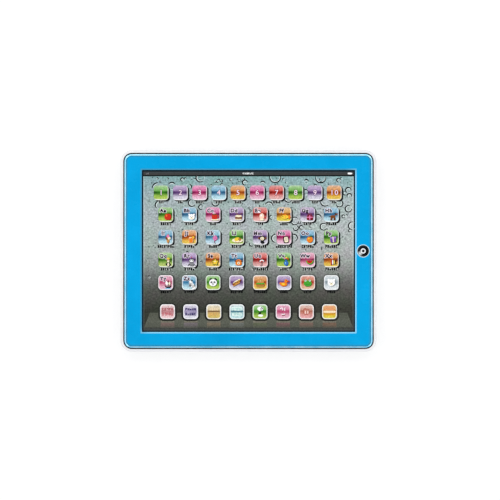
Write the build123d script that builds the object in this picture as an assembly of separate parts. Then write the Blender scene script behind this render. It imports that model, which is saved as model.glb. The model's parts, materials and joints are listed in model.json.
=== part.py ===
"""Toy tablet computer: a white rear cover, a blue front frame with a bright edge trim, a printed
touch sheet over a three-layer membrane, a home key on a rubber dome, a speaker, a sound board and
three AAA cells behind a screwed battery door.

Frame: +X to the right of the screen, +Y to its top edge, +Z out of the screen. The origin is the
middle of the footprint, on the surface that the four feet stand on. Everything is in millimetres.
"""

import os

from build123d import *

os.makedirs("parts", exist_ok=True)

# ---------------------------------------------------------------- overall
case_length = 240.0  # along X
case_width = 189.0  # along Y
case_corner = 10.5  # plan radius of the rear cover's corners

# ---------------------------------------------------------------- rear cover
foot_proud = 1.0  # feet below the rear cover
foot_seat = 0.8  # depth of a foot's recess
foot_radius = 6.0
foot_inset = 20.0  # foot centre from both edges
floor_wall = 2.0
rim_wall = 2.5
back_edge_radius = 6.0
rim_edge_radius = 1.2
rim_step = 1.8  # the frame's face stands this far above the rim

# ---------------------------------------------------------------- front frame
front_wall = 2.0
skirt_wall = 1.8
skirt_depth = 5.0
rim_gap = 0.3  # rear rim to the frame's skirt and the trim
shoulder_height = 0.6  # the frame's shoulder that carries the trim
trim_height = 1.2
trim_inner_facet = 1.25  # width of the nearly flat facet
trim_inner_drop = 0.33
trim_outer_facet = 0.95  # width of the steep facet
trim_outer_drop = 0.7
trim_width = trim_inner_facet + trim_outer_facet
face_round = 1.0  # radius of the face's outer edge
end_border = 18.5  # case edge to the window, along Y
window_corner = 0.5
window_bevel = 1.4
window_bevel_depth = 0.45

# ---------------------------------------------------------------- touch sheet and membrane
sheet_thickness = 0.5
film_thickness = 0.2
plate_thickness = 1.5
sheet_margin_x = 3.0  # sheet past the window, along X
sheet_margin_y = 3.5
key_height = 0.25  # how far a printed key is embossed
key_corner = 3.2
key_edge = 0.12
number_keys = 10
row_keys = 8
letter_rows = 4
key_gap = 4.3  # between neighbours in the number row
number_margin = 18.8  # window edge to the first key's centre
number_left = 0.8  # the number row stands this far left of the middle
letter_margin = 22.3
mode_margin = 24.0
number_drop = 21.4  # window's top edge to the number row
mode_rise = 19.0  # window's bottom edge to the mode row
mode_extra = 6.1  # extra room over the mode row
number_less = 0.8  # the number row stands this much closer to the letters
contact_radius = 4.0  # hole in the spacer under each key

# ---------------------------------------------------------------- home key
home_radius = 5.2
home_fit = 0.2
ring_width = 0.7
ring_outer = home_radius + home_fit + ring_width
home_margin_in = 0.05  # ring to the window's sloped edge
home_margin_out = 0.35  # ring to the face's rounded edge
ring_seat = 0.8
ring_proud = 0.3
cap_proud = 0.1
dish_depth = 0.7
ear_length = 2 * home_radius + 6.6
ear_width = 7.0
ear_thickness = 1.2
ear_gap = 0.1  # ears to the frame, at rest
home_travel = 0.9
dome_height = 3.3
dome_radius = 4.3
dome_wall = 0.7
pill_radius = 1.6
pill_height = 0.6
mark_radius = 2.45
mark_stroke = 1.1
mark_depth = 0.3

# ---------------------------------------------------------------- boards
board_thickness = 1.2
key_board_width = 10.8
key_post_radius = 2.3
key_post_offset = ear_length / 2 + 4.1  # post centre from the key's centre, along Y
key_board_length = 2 * key_post_offset + 5.8
main_board_length = 62.0
main_board_width = 40.0
main_board_side = 66.0  # case edge to the board's centre, along X
main_board_end = 47.0  # case edge to the board's centre, along Y
board_standoff = 4.0
board_hole_inset = 4.0
chip_radius = 6.0
chip_height = 1.6
chip_offset = (-6.0, 2.0)  # chip from the board's centre
capacitor_radius = 2.5
capacitor_height = 5.5
capacitor_offsets = [(8.0, 11.0), (15.0, 11.0)]
regulator_offset = (18.0, -1.5)
regulator_size = (4.0, 3.0, 1.5)
resistor_count = 5
resistor_start = (3.8, -8.6)
resistor_pitch = 3.2
resistor_size = (1.6, 0.8, 0.5)
tail_width = 18.0
tail_bend = 1.5
tail_stand_off = 3.2  # tail's drop from the plate's edge
connector_length = 22.0
connector_width = 5.0
connector_height = 2.6
connector_slot = 0.6

# ---------------------------------------------------------------- speaker
speaker_radius = 20.0
speaker_side = 62.0  # case edge to the speaker's centre, along X
speaker_end = 50.0
speaker_flange = 3.5
speaker_rim = 1.0
basket_height = 5.2
basket_wall = 0.8
magnet_radius = 9.0
magnet_height = 3.4
gasket_thickness = 0.8
gasket_fit = 0.3
grille_hole_radius = 1.1
grille_rings = 4
grille_ring_pitch = (speaker_radius - speaker_flange - grille_hole_radius - 0.6) / grille_rings
speaker_screw_circle = speaker_radius + 3.4

# ---------------------------------------------------------------- battery bay and door
cell_diameter = 10.5
cell_length = 44.5
cells = 3
tail_slot_width = 3.0
tail_strip_width = 2.4  # a contact's solder tail
tail_reach = 2.0  # solder tail past the bay's wall
cell_gap = 0.4
cell_clear = 0.3
nub_radius = 1.9
nub_height = 0.8
spring_room = 5.0
spring_wire = 0.5
spring_radius = 3.4
spring_turns = 3.5
contact_thickness = 0.4
contact_side = 8.5
bay_wall = 1.5
bay_roof = 1.1
bay_end = 50.0  # case edge to the bay's centre, along Y
door_thickness = 1.5
door_gap = 0.25
door_ledge = 2.0
door_pad_height = 3.2  # thick floor round the door's opening
tab_width = 8.0
tab_reach = 2.0
tab_thickness = 1.2
tab_gap = 0.15
tab_room = 6.0  # bay end to the door's hinged edge
pocket_length = 9.0
pocket_half = 5.0
plate_clear = 0.2  # bay roof to the backing plate

# ---------------------------------------------------------------- fasteners
case_screw_radius = 1.3
case_screw_length = 9.8
case_head_radius = 2.7
case_head_height = 1.8
case_boss_radius = 3.0
case_tube_radius = 4.2
case_screw_inset = 11.0  # corner screws, from both edges
case_mid_inset = 9.3  # middle screws, from the long edges
tube_split = 5.8  # the frame's bosses reach this far down
small_screw_radius = 1.0
small_head_radius = 2.0
small_head_height = 1.3
small_boss_radius = 2.6
plate_screw_inset_y = 10.0
plate_screw_inset_x = 12.5
plate_screw_along = 45.0
plate_screw_bite = 2.2
board_screw_bite = 3.0
speaker_screw_length = 2.4
lug_clear = 15.0  # plate screw to the membrane's tail
lug_outer = 34.0  # plate screw to the case's edge
lug_radius = 4.0
washer_head_radius = 4.3
door_screw_radius = 1.3
door_screw_length = 7.4
door_head_radius = 2.6
door_head_height = 1.4
door_boss_radius = 4.2
door_boss_height = 1.3
door_screw_travel = 3.0
retainer_radius = 2.3
retainer_thickness = 0.6
retainer_bore_gap = 0.03
post_radius = 3.2
post_gap = 0.25
post_hole_gap = 0.35
hole_gap = 0.3
pilot_gap = 0.02
cross_width = 0.8
cross_depth = 0.8

# ---------------------------------------------------------------- leads
lead_radius = 0.6
lead_bend = 2.5
lead_inset = 3.0  # board edge to a soldered end
lead_pair_gap = 1.5  # half the distance between a pair of leads
lead_detour = 8.0  # how far a lead keeps from the bay
solder_gap = 0.05

# ---------------------------------------------------------------- levels, from the feet up
floor_out = foot_proud
floor_in = floor_out + floor_wall
cell_radius = cell_diameter / 2
cell_z = floor_in + cell_clear + cell_radius
roof_in = cell_z + cell_radius + cell_clear
roof_out = roof_in + bay_roof
plate_low = roof_out + plate_clear
plate_top = plate_low + plate_thickness
lower_film_top = plate_top + film_thickness
spacer_top = lower_film_top + film_thickness
upper_film_top = spacer_top + film_thickness
sheet_top = upper_film_top + sheet_thickness
frame_top = sheet_top + front_wall
rim_top = frame_top - rim_step
skirt_low = sheet_top - skirt_depth
trim_low = sheet_top + shoulder_height
cap_low = sheet_top - ear_gap - ear_thickness
cap_top = frame_top + cap_proud
key_board_top = cap_low - dome_height
board_low = floor_in + board_standoff
board_top = board_low + board_thickness
speaker_seat = floor_in + gasket_thickness
case_seat = sheet_top - tube_split - 5.2  # under the case screws' heads
tail_level = board_top + connector_height / 2
wire_level = board_top + lead_radius + solder_gap

# ---------------------------------------------------------------- plan sizes
half_x = case_length / 2
half_y = case_width / 2
face_margin = rim_wall + rim_gap + trim_width + face_round
side_border = face_margin + home_margin_out + 2 * ring_outer + home_margin_in + window_bevel
skirt_x = half_x - rim_wall - rim_gap
skirt_y = half_y - rim_wall - rim_gap
skirt_corner = case_corner - rim_wall - rim_gap
face_x = skirt_x - trim_width
face_y = skirt_y - trim_width
face_corner = skirt_corner - trim_width
window_length = case_length - 2 * side_border
window_width = case_width - 2 * end_border
sheet_length = window_length + 2 * sheet_margin_x
sheet_width = window_width + 2 * sheet_margin_y
home_x = half_x - face_margin - home_margin_out - ring_outer
home_hole = home_radius + home_fit
sheet_notch = home_hole + 0.5
board_x = half_x - main_board_side
board_y = -half_y + main_board_end
speaker_x = -half_x + speaker_side
speaker_y = -half_y + speaker_end
bay_y = half_y - bay_end


def plan_block(length, width, radius, low, high):
    """A block with rounded corners in plan, from level low to level high."""
    outline = RectangleRounded(length, width, radius)
    return Pos(0, 0, low) * extrude(outline, high - low)


def box_between(x0, x1, y0, y1, z0, z1):
    """A box given by its two corners."""
    middle = Pos((x0 + x1) / 2, (y0 + y1) / 2, (z0 + z1) / 2)
    return middle * Box(x1 - x0, y1 - y0, z1 - z0)


def post(x, y, radius, low, high):
    """An upright cylinder at (x, y) from level low to level high."""
    return Pos(x, y, (low + high) / 2) * Cylinder(radius, high - low)


def tube(x, y, outer, inner, low, high):
    """An upright tube at (x, y)."""
    return post(x, y, outer, low, high) - post(x, y, inner, low, high)


def edges_at(solid, level):
    """The edges that lie wholly at one level."""
    return [
        e
        for e in solid.edges()
        if abs(e.bounding_box().min.Z - level) < 1e-4
        and abs(e.bounding_box().max.Z - level) < 1e-4
    ]


def cross_recess(x, y, radius, level, up):
    """The cross slot in a screw head whose outer face is at level; up is +1 if it faces +Z."""
    low, high = sorted((level, level - up * cross_depth))
    arm = radius * 1.2
    one = box_between(x - arm / 2, x + arm / 2, y - cross_width / 2, y + cross_width / 2, low, high)
    two = box_between(x - cross_width / 2, x + cross_width / 2, y - arm / 2, y + arm / 2, low, high)
    return one + two


def screw(x, y, seat, up, shank, length, head, head_height):
    """A pan-head screw seated at level seat; up is +1 if its head faces +Z and its shank goes down."""
    far = seat - up * length
    outer = seat + up * head_height
    body = post(x, y, shank, min(seat, far), max(seat, far))
    cap = post(x, y, head, min(seat, outer), max(seat, outer))
    cap = fillet(edges_at(cap, outer), head_height * 0.45)
    point = chamfer(edges_at(body, far), shank * 0.45)
    return cap + point - cross_recess(x, y, head, outer, up)


def save(name, shape):
    """Writes one node; a list becomes a group of separate solids."""
    if isinstance(shape, list):
        shape = Compound(children=[s for part in shape for s in part.solids()])
    export_step(shape, f"parts/{name}.step")


# ---------------------------------------------------------------- places that repeat
case_screw_places = [
    (sx * (half_x - case_screw_inset), sy * (half_y - case_screw_inset))
    for sx in (-1, 1)
    for sy in (-1, 1)
]
case_screw_places += [(0, sy * (half_y - case_mid_inset)) for sy in (-1, 1)]

plate_screw_inner = board_x - tail_width / 2 - lug_clear  # each side of the membrane's tail
plate_screw_outer = half_x - lug_outer
plate_screws_long = [
    (sx * x, sy * (half_y - plate_screw_inset_y))
    for x in (plate_screw_inner, plate_screw_outer)
    for sx in (-1, 1)
    for sy in (-1, 1)
]
plate_screws_short = [
    (sx * (half_x - plate_screw_inset_x), sy * plate_screw_along)
    for sx in (-1, 1)
    for sy in (-1, 1)
]

key_post_places = [(home_x, sy * key_post_offset) for sy in (-1, 1)]

board_screw_places = [
    (
        board_x + sx * (main_board_length / 2 - board_hole_inset),
        board_y + sy * (main_board_width / 2 - board_hole_inset),
    )
    for sx in (-1, 1)
    for sy in (-1, 1)
]

speaker_screw_places = [
    (speaker_x + p.X, speaker_y + p.Y)
    for p in (Vector(speaker_screw_circle, 0, 0).rotate(Axis.Z, a) for a in (30, 150, 270))
]

foot_places = {
    "foot_rear_left": (-(half_x - foot_inset), half_y - foot_inset),
    "foot_rear_right": (half_x - foot_inset, half_y - foot_inset),
    "foot_front_left": (-(half_x - foot_inset), -(half_y - foot_inset)),
    "foot_front_right": (half_x - foot_inset, -(half_y - foot_inset)),
}

number_pitch = (window_length - 2 * number_margin) / (number_keys - 1)
letter_pitch = (window_length - 2 * letter_margin) / (row_keys - 1)
mode_pitch = (window_length - 2 * mode_margin) / (row_keys - 1)
key_side = number_pitch - key_gap
number_y = window_width / 2 - number_drop
mode_y = -window_width / 2 + mode_rise
row_pitch = (number_y - mode_y - mode_extra + number_less) / (letter_rows + 1)
number_x = -number_left - (number_keys - 1) / 2 * number_pitch
key_places = [(number_x + i * number_pitch, number_y) for i in range(number_keys)]
for row in range(letter_rows):
    row_y = number_y + number_less - (row + 1) * row_pitch
    key_places += [((i - (row_keys - 1) / 2) * letter_pitch, row_y) for i in range(row_keys)]
key_places += [((i - (row_keys - 1) / 2) * mode_pitch, mode_y) for i in range(row_keys)]

# ---------------------------------------------------------------- bay and door places
bay_length = cell_length + spring_room + 2 * contact_thickness + 3 * cell_clear
bay_half = (cells * cell_diameter + (cells + 1) * cell_gap) / 2
door_length = tab_room + bay_length + bay_wall + pocket_length + door_ledge
door_half = bay_half + door_ledge
door_x0 = -door_length / 2
door_x1 = door_length / 2
bay_x0 = door_x0 + tab_room
bay_x1 = bay_x0 + bay_length
pocket_x0 = bay_x1 + bay_wall
pocket_x1 = pocket_x0 + pocket_length
door_screw_x = (pocket_x0 + pocket_x1) / 2
door_top = floor_out + door_thickness
door_pivot_x = door_x0 + door_thickness / 2  # centre of the door's rounded edge
door_pivot_z = floor_out + door_thickness / 2
tab_low = door_top + 0.1 + tab_gap
tab_top = tab_low + tab_thickness
tab_swing = ((door_thickness / 2 + tab_reach) ** 2 + (tab_top - door_pivot_z) ** 2) ** 0.5
tab_roof = door_pivot_z + tab_swing + 0.2
tab_places = [bay_y - bay_half * 0.6, bay_y + bay_half * 0.6]
door_seat = floor_out + 0.2 + door_head_height  # under the door screw's head
door_boss_top = door_top + door_boss_height
retainer_low = door_boss_top + door_screw_travel + 0.05
post_low = retainer_low + retainer_thickness + post_gap
cell_places = [
    (bay_y + (i - (cells - 1) / 2) * (cell_diameter + cell_gap), 1 if i % 2 == 0 else -1)
    for i in range(cells)
]


# ---------------------------------------------------------------- rear cover
def make_rear_cover():
    """The white tray: rounded back edge, bay for the cells, speaker grille, bosses and foot seats."""
    outer = plan_block(case_length, case_width, case_corner, floor_out, rim_top)
    outer = fillet(edges_at(outer, floor_out), back_edge_radius)
    outer = fillet(edges_at(outer, rim_top), rim_edge_radius)
    inner = plan_block(
        case_length - 2 * rim_wall,
        case_width - 2 * rim_wall,
        case_corner - rim_wall,
        floor_in,
        rim_top + 1,
    )
    inner = fillet(edges_at(inner, floor_in), back_edge_radius - floor_wall)
    cover = outer - inner

    # thick floor round the door, walls and roof of the bay and of the door screw's pocket
    pad = door_ledge + bay_wall
    cover += box_between(
        door_x0 - tab_reach - pad, door_x1 + pad,
        bay_y - door_half - bay_wall, bay_y + door_half + bay_wall,
        floor_in, floor_in + door_pad_height,
    )
    cover += box_between(
        bay_x0 - bay_wall, bay_x1 + bay_wall,
        bay_y - bay_half - bay_wall, bay_y + bay_half + bay_wall,
        floor_in, roof_out,
    )
    cover += box_between(
        bay_x1, pocket_x1 + bay_wall,
        bay_y - pocket_half - bay_wall, bay_y + pocket_half + bay_wall,
        floor_in, roof_out,
    )
    cover -= box_between(bay_x0, bay_x1, bay_y - bay_half, bay_y + bay_half, floor_out, roof_in)
    cover -= box_between(
        pocket_x0, pocket_x1, bay_y - pocket_half, bay_y + pocket_half, floor_out, roof_in
    )
    recess = box_between(
        door_x0 - door_gap, door_x1 + door_gap,
        bay_y - door_half - door_gap, bay_y + door_half + door_gap,
        floor_out, door_top + 0.1,
    )
    cover -= recess
    for y in tab_places:
        cover -= box_between(
            door_x0 - tab_reach - 0.3, bay_x0 - 1.0,
            y - tab_width / 2 - hole_gap, y + tab_width / 2 + hole_gap,
            door_top + 0.1, tab_roof,
        )
    screw_post = post(door_screw_x, bay_y, post_radius, post_low, roof_in)
    screw_hole = post(
        door_screw_x, bay_y, door_screw_radius + post_hole_gap, post_low, door_seat + door_screw_length + 0.6
    )
    cover += screw_post - screw_hole

    # slots that let the contacts' solder tails out of the bay
    for y, x in solder_tail_places():
        cover -= Pos(x, y, cell_z) * Box(bay_wall + 0.2, tail_slot_width, contact_thickness + 0.2)

    for x, y in case_screw_places:
        seat = case_seat
        cover += post(x, y, case_tube_radius, floor_in, seat + 1.2)
        cover += post(x, y, case_boss_radius, seat, sheet_top - tube_split)
        cover -= post(x, y, case_head_radius + hole_gap, floor_out, seat)
        cover -= post(x, y, case_screw_radius + hole_gap / 2, seat, sheet_top - tube_split)

    for x, y in board_screw_places:
        cover += post(x, y, small_boss_radius, floor_in, floor_in + board_standoff)
        cover -= post(x, y, small_screw_radius + pilot_gap, floor_in + 0.6, floor_in + board_standoff)

    flange_top = speaker_seat + speaker_rim
    cover += tube(
        speaker_x, speaker_y, speaker_radius + 1.4, speaker_radius + gasket_fit, floor_in, speaker_seat
    )
    for x, y in speaker_screw_places:
        cover += post(x, y, small_boss_radius, floor_in, flange_top) - post(
            speaker_x, speaker_y, speaker_radius + gasket_fit, floor_in, flange_top + 1
        )
        cover -= post(x, y, small_screw_radius + pilot_gap, floor_out + 1.2, flange_top)
    holes = [Pos(speaker_x, speaker_y, floor_out + floor_wall / 2) * Cylinder(grille_hole_radius, floor_wall)]
    for ring in range(1, grille_rings + 1):
        holes += [
            Pos(speaker_x, speaker_y, floor_out + floor_wall / 2)
            * Rot(0, 0, 360 * k / (6 * ring))
            * Pos(ring * grille_ring_pitch, 0, 0)
            * Cylinder(grille_hole_radius, floor_wall)
            for k in range(6 * ring)
        ]
    cover -= holes

    for x, y in foot_places.values():
        cover -= post(x, y, foot_radius + 0.1, floor_out, floor_out + foot_seat)
    return cover


def solder_tail_places():
    """(y, x) of the two bay walls that a contact's solder tail passes: one at each end of the row."""
    first, last = cell_places[0][0], cell_places[-1][0]
    return [(first, bay_x0 - bay_wall / 2), (last, bay_x1 + bay_wall / 2)]


# ---------------------------------------------------------------- front frame
def make_front_frame():
    """The blue frame: face, window with a sloped edge, skirt inside the rim, bosses and the key's hole."""
    skirt = plan_block(2 * skirt_x, 2 * skirt_y, skirt_corner, skirt_low, sheet_top)
    skirt -= plan_block(
        2 * (skirt_x - skirt_wall), 2 * (skirt_y - skirt_wall), skirt_corner - skirt_wall, skirt_low, sheet_top
    )
    shoulder = plan_block(2 * skirt_x, 2 * skirt_y, skirt_corner, sheet_top, trim_low)
    top = plan_block(2 * face_x, 2 * face_y, face_corner, sheet_top, frame_top)
    top = fillet(edges_at(top, frame_top), face_round)
    frame = skirt + shoulder + top
    frame -= plan_block(window_length, window_width, window_corner, sheet_top, frame_top)
    slope_low = frame_top - window_bevel_depth
    slope = loft(
        [
            Pos(0, 0, slope_low) * RectangleRounded(window_length, window_width, window_corner),
            Pos(0, 0, frame_top)
            * RectangleRounded(
                window_length + 2 * window_bevel, window_width + 2 * window_bevel, window_corner + 0.4
            ),
        ]
    )
    frame -= slope

    frame -= post(home_x, 0, home_hole, sheet_top, frame_top)
    frame -= post(home_x, 0, home_hole + ring_width, frame_top - ring_seat, frame_top)

    for x, y in case_screw_places:
        boss_low = sheet_top - tube_split
        tip = case_seat + case_screw_length + 0.4
        frame += post(x, y, case_boss_radius, boss_low, sheet_top)
        frame -= post(x, y, case_screw_radius + pilot_gap, boss_low, tip)
    for x, y in plate_screws_long + plate_screws_short:
        frame += post(x, y, small_boss_radius, plate_top, sheet_top)
        frame -= post(x, y, small_screw_radius + pilot_gap, plate_top, plate_top + plate_screw_bite + 0.2)
    for x, y in key_post_places:
        frame += post(x, y, key_post_radius, key_board_top, sheet_top)
        frame -= post(x, y, small_screw_radius + pilot_gap, key_board_top, key_board_top + board_screw_bite + 0.4)
    return frame


def make_edge_trim():
    """The bright trim round the frame's face: a low wall, a steep facet and a nearly flat facet."""
    crest = trim_low + trim_height
    fold = crest - trim_inner_drop
    foot = fold - trim_outer_drop

    def outline(inset, level):
        plan = RectangleRounded(2 * (skirt_x - inset), 2 * (skirt_y - inset), skirt_corner - inset)
        return Pos(0, 0, level) * plan

    ring = extrude(outline(0, trim_low), foot - trim_low)
    ring += loft([outline(0, foot), outline(trim_outer_facet, fold)])
    ring += loft([outline(trim_outer_facet, fold), outline(trim_width, crest)])
    return ring - plan_block(2 * face_x, 2 * face_y, face_corner, trim_low, crest)


def make_home_ring():
    """The bright ring pressed round the home key."""
    outer = home_hole + ring_width
    ring = tube(home_x, 0, outer, home_hole, frame_top - ring_seat, frame_top + ring_proud)
    return fillet(edges_at(ring, frame_top + ring_proud), ring_width * 0.45)


# ---------------------------------------------------------------- home key
dish_radius = (home_radius**2 + dish_depth**2) / (2 * dish_depth)


def dish(extra):
    """The ball that hollows the key's top, grown by extra."""
    return Pos(home_x, 0, cap_top - dish_depth + dish_radius) * Sphere(dish_radius + extra)


def make_home_mark():
    """A plain ring let into the hollow of the key."""
    prism = tube(
        home_x, 0, mark_radius, mark_radius - mark_stroke, cap_top - dish_depth - 1, cap_top + 1
    )
    return (prism & dish(mark_depth)) - dish(0)


def make_home_button(mark):
    """The key's cap with its hollow top and the two ears that keep it in the frame."""
    cap = post(home_x, 0, home_radius, cap_low, cap_top)
    ears = Pos(home_x, 0, cap_low + ear_thickness / 2) * Box(ear_width, ear_length, ear_thickness)
    cap = cap + fillet(ears.edges().filter_by(Axis.Z), 1.5)
    return cap - dish(0) - mark


def make_dome():
    """The rubber dome that lifts the key: a foot, a thin cone and a hollow plunger, about the key's axis."""
    low, high = key_board_top, cap_low
    pill_top = low + home_travel + 0.05 + pill_height
    points = [
        (pill_radius + 0.9, low),
        (dome_radius, low),
        (dome_radius, low + dome_wall),
        (pill_radius + 0.7, high - 0.6),
        (pill_radius + 0.7, high),
        (0, high),
        (0, pill_top),
        (pill_radius, pill_top),
        (pill_radius + 0.05, high - 0.6 - dome_wall),
    ]
    profile = make_face(Polyline([(x, 0, z) for x, z in points], close=True))
    return Pos(home_x, 0, 0) * revolve(profile, Axis.Z, 360)


def make_pill():
    """The carbon pill in the dome's plunger."""
    low = key_board_top + home_travel + 0.05
    return post(home_x, 0, pill_radius - 0.1, low, low + pill_height)


def make_key_board():
    """The small board under the home key."""
    board = Pos(home_x, 0, key_board_top - board_thickness / 2) * Box(
        key_board_width, key_board_length, board_thickness
    )
    for x, y in key_post_places:
        board -= post(x, y, small_screw_radius + hole_gap, key_board_top - board_thickness, key_board_top)
    return board


# ---------------------------------------------------------------- touch sheet and membrane
def sheet_blank(low, high):
    """A layer of the sheet's outline, with the notch that clears the home key."""
    blank = plan_block(sheet_length, sheet_width, 1.5, low, high)
    return blank - post(home_x, 0, sheet_notch, low, high)


def make_touch_sheet():
    """The printed cover sheet with its embossed keys."""
    keys = Sketch() + [
        Pos(x, y) * RectangleRounded(key_side, key_side, min(key_corner, key_side * 0.3))
        for x, y in key_places
    ]
    raised = Pos(0, 0, sheet_top) * extrude(keys, key_height)
    raised = chamfer(edges_at(raised, sheet_top + key_height), key_edge)
    return sheet_blank(upper_film_top, sheet_top) + raised


def make_spacer():
    """The spacer film, open under every key."""
    holes = Sketch() + [Pos(x, y) * Circle(contact_radius) for x, y in key_places]
    return sheet_blank(lower_film_top, spacer_top) - Pos(0, 0, lower_film_top) * extrude(
        holes, film_thickness
    )


def tail_path_y():
    """Where the tail drops, and where it ends inside the connector."""
    drop = -sheet_width / 2 - tail_stand_off
    end = board_y - main_board_width / 2 + connector_width * 0.6
    return drop, end


def make_lower_film():
    """The lower circuit film with the tail that folds round the plate down to the main board."""
    film = sheet_blank(plate_top, lower_film_top)
    drop, end = tail_path_y()
    middle = plate_top + film_thickness / 2
    path = FilletPolyline(
        (board_x, -sheet_width / 2 + 1.0, middle),
        (board_x, drop, middle),
        (board_x, drop, tail_level),
        (board_x, end, tail_level),
        radius=tail_bend,
    )
    section = Plane(path @ 0, x_dir=(1, 0, 0), z_dir=path % 0) * Rectangle(tail_width, film_thickness)
    return film + sweep(section, path=path)


def make_backing_plate():
    """The stiff plate behind the membrane, with screw lugs round its edge."""
    plate = sheet_blank(plate_low, plate_top)
    for x, y in plate_screws_long:
        side = 1 if y > 0 else -1
        y0, y1 = sorted((side * (sheet_width / 2 - 1), y))
        plate += box_between(x - lug_radius, x + lug_radius, y0, y1, plate_low, plate_top)
        plate += post(x, y, lug_radius, plate_low, plate_top)
    for x, y in plate_screws_short:
        side = 1 if x > 0 else -1
        x0, x1 = sorted((side * (sheet_length / 2 - 1), x))
        plate += box_between(x0, x1, y - lug_radius, y + lug_radius, plate_low, plate_top)
        plate += post(x, y, lug_radius, plate_low, plate_top)
    for x, y in plate_screws_long + plate_screws_short:
        plate -= post(x, y, small_screw_radius + hole_gap, plate_low, plate_top)
    return plate


# ---------------------------------------------------------------- main board
def make_main_board():
    """The sound board."""
    board = Pos(board_x, board_y, board_low + board_thickness / 2) * Box(
        main_board_length, main_board_width, board_thickness
    )
    for x, y in board_screw_places:
        board -= post(x, y, small_screw_radius + hole_gap, board_low, board_top)
    return board


def make_chip():
    """The sound chip under its black resin blob."""
    x, y = board_x + chip_offset[0], board_y + chip_offset[1]
    ball = (chip_radius**2 + chip_height**2) / (2 * chip_height)
    blob = Pos(x, y, board_top + chip_height - ball) * Sphere(ball)
    return blob & post(x, y, chip_radius + 1, board_top, board_top + chip_height)


def make_connector():
    """The socket that takes the membrane's tail."""
    y0 = board_y - main_board_width / 2 + 0.5
    body = box_between(
        board_x - connector_length / 2, board_x + connector_length / 2,
        y0, y0 + connector_width, board_top, board_top + connector_height,
    )
    slot = box_between(
        board_x - tail_width / 2 - 0.5, board_x + tail_width / 2 + 0.5,
        y0, y0 + connector_width * 0.7,
        tail_level - connector_slot / 2, tail_level + connector_slot / 2,
    )
    return body - slot


def part_on_board(offset, size):
    """A block of the given size standing on the board at an offset from its centre."""
    x, y = board_x + offset[0], board_y + offset[1]
    length, width, height = size
    return Pos(x, y, board_top + height / 2) * Box(length, width, height)


def make_board_components():
    """Two electrolytic capacitors, a regulator and a row of small resistors."""
    pieces = []
    for dx, dy in capacitor_offsets:
        can = post(board_x + dx, board_y + dy, capacitor_radius, board_top, board_top + capacitor_height)
        pieces.append(fillet(edges_at(can, board_top + capacitor_height), 0.4))
    pieces.append(part_on_board(regulator_offset, regulator_size))
    for k in range(resistor_count):
        offset = (resistor_start[0] + k * resistor_pitch, resistor_start[1])
        pieces.append(part_on_board(offset, resistor_size))
    return pieces


# ---------------------------------------------------------------- speaker
def make_speaker_gasket():
    """The foam ring between the speaker and the grille."""
    return tube(
        speaker_x, speaker_y, speaker_radius, speaker_radius - speaker_flange, floor_in, speaker_seat
    )


def make_speaker_frame():
    """The pressed steel basket: flange, cone-shaped wall and back plate."""
    low = speaker_seat
    mid = low + speaker_rim
    high = mid + basket_height
    inner = speaker_radius - speaker_flange
    back = magnet_radius + 2.0
    points = [
        (inner, low),
        (speaker_radius, low),
        (speaker_radius, mid),
        (inner + basket_wall, mid),
        (back + basket_wall, high),
        (back + basket_wall, high + basket_wall),
        (2.5, high + basket_wall),
        (2.5, high),
        (back, high),
        (inner, mid),
    ]
    profile = make_face(Polyline([(x, 0, z) for x, z in points], close=True))
    return Pos(speaker_x, speaker_y, 0) * revolve(profile, Axis.Z, 360)


def make_speaker_cone():
    """The paper cone with its roll edge and dust cap, a thin shell of one piece."""
    low = speaker_seat + 0.2
    rim = speaker_radius - speaker_flange - 0.1
    skin = 0.4
    points = [
        (0, low + 2.4),
        (4.0, low + 2.0),
        (5.2, low + 3.4),
        (rim - 2.6, low + 0.3),
        (rim - 1.3, low + 0.1),
        (rim, low + 0.3),
        (rim, low + 0.3 + skin),
        (rim - 1.3, low + 0.1 + skin),
        (rim - 2.6, low + 0.3 + skin),
        (5.2, low + 3.4 + skin),
        (3.6, low + 3.4 + skin),
        (3.6, low + 2.0 + skin),
        (0, low + 2.4 + skin),
    ]
    profile = make_face(Polyline([(x, 0, z) for x, z in points], close=True))
    return Pos(speaker_x, speaker_y, 0) * revolve(profile, Axis.Z, 360)


def make_speaker_magnet():
    """The ring magnet's can on the back of the basket."""
    low = speaker_seat + speaker_rim + basket_height + basket_wall
    can = post(speaker_x, speaker_y, magnet_radius, low, low + magnet_height)
    return fillet(edges_at(can, low + magnet_height), 0.8)


# ---------------------------------------------------------------- cells and contacts
def make_cell(y, way):
    """One AAA cell along X, its nub facing way."""
    can_length = cell_length - nub_height
    flat_end = bay_x1 - contact_thickness - cell_clear if way > 0 else bay_x0 + contact_thickness + cell_clear
    can = Rot(0, 90, 0) * Cylinder(cell_radius, can_length)
    can = fillet(can.edges(), 0.5)
    can = Pos(flat_end - way * (nub_height + can_length / 2), y, cell_z) * can
    nub = Pos(flat_end - way * nub_height / 2, y, cell_z) * Rot(0, 90, 0) * Cylinder(nub_radius, nub_height)
    return can + nub


def contact_plate(y, side):
    """The flat plate on the bay's end wall behind one cell."""
    x = bay_x0 if side < 0 else bay_x1 - contact_thickness
    half = contact_side / 2
    return box_between(x, x + contact_thickness, y - half, y + half, cell_z - half, cell_z + half)


def make_flat_contacts():
    """The plates that meet the cells' nubs; the last one has its solder tail."""
    plates = [contact_plate(y, way) for y, way in cell_places]
    return plates[:-1] + [plates[-1] + solder_tail(1)]


def solder_tail(end):
    """The strip that carries an end contact out through the bay's wall."""
    y, x = solder_tail_places()[0 if end < 0 else 1]
    x0 = bay_x0 - bay_wall - tail_reach if end < 0 else bay_x1 - contact_thickness
    x1 = bay_x0 + contact_thickness if end < 0 else bay_x1 + bay_wall + tail_reach
    half = contact_thickness / 2
    across = tail_strip_width / 2
    return box_between(x0, x1, y - across, y + across, cell_z - half, cell_z + half)


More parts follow.
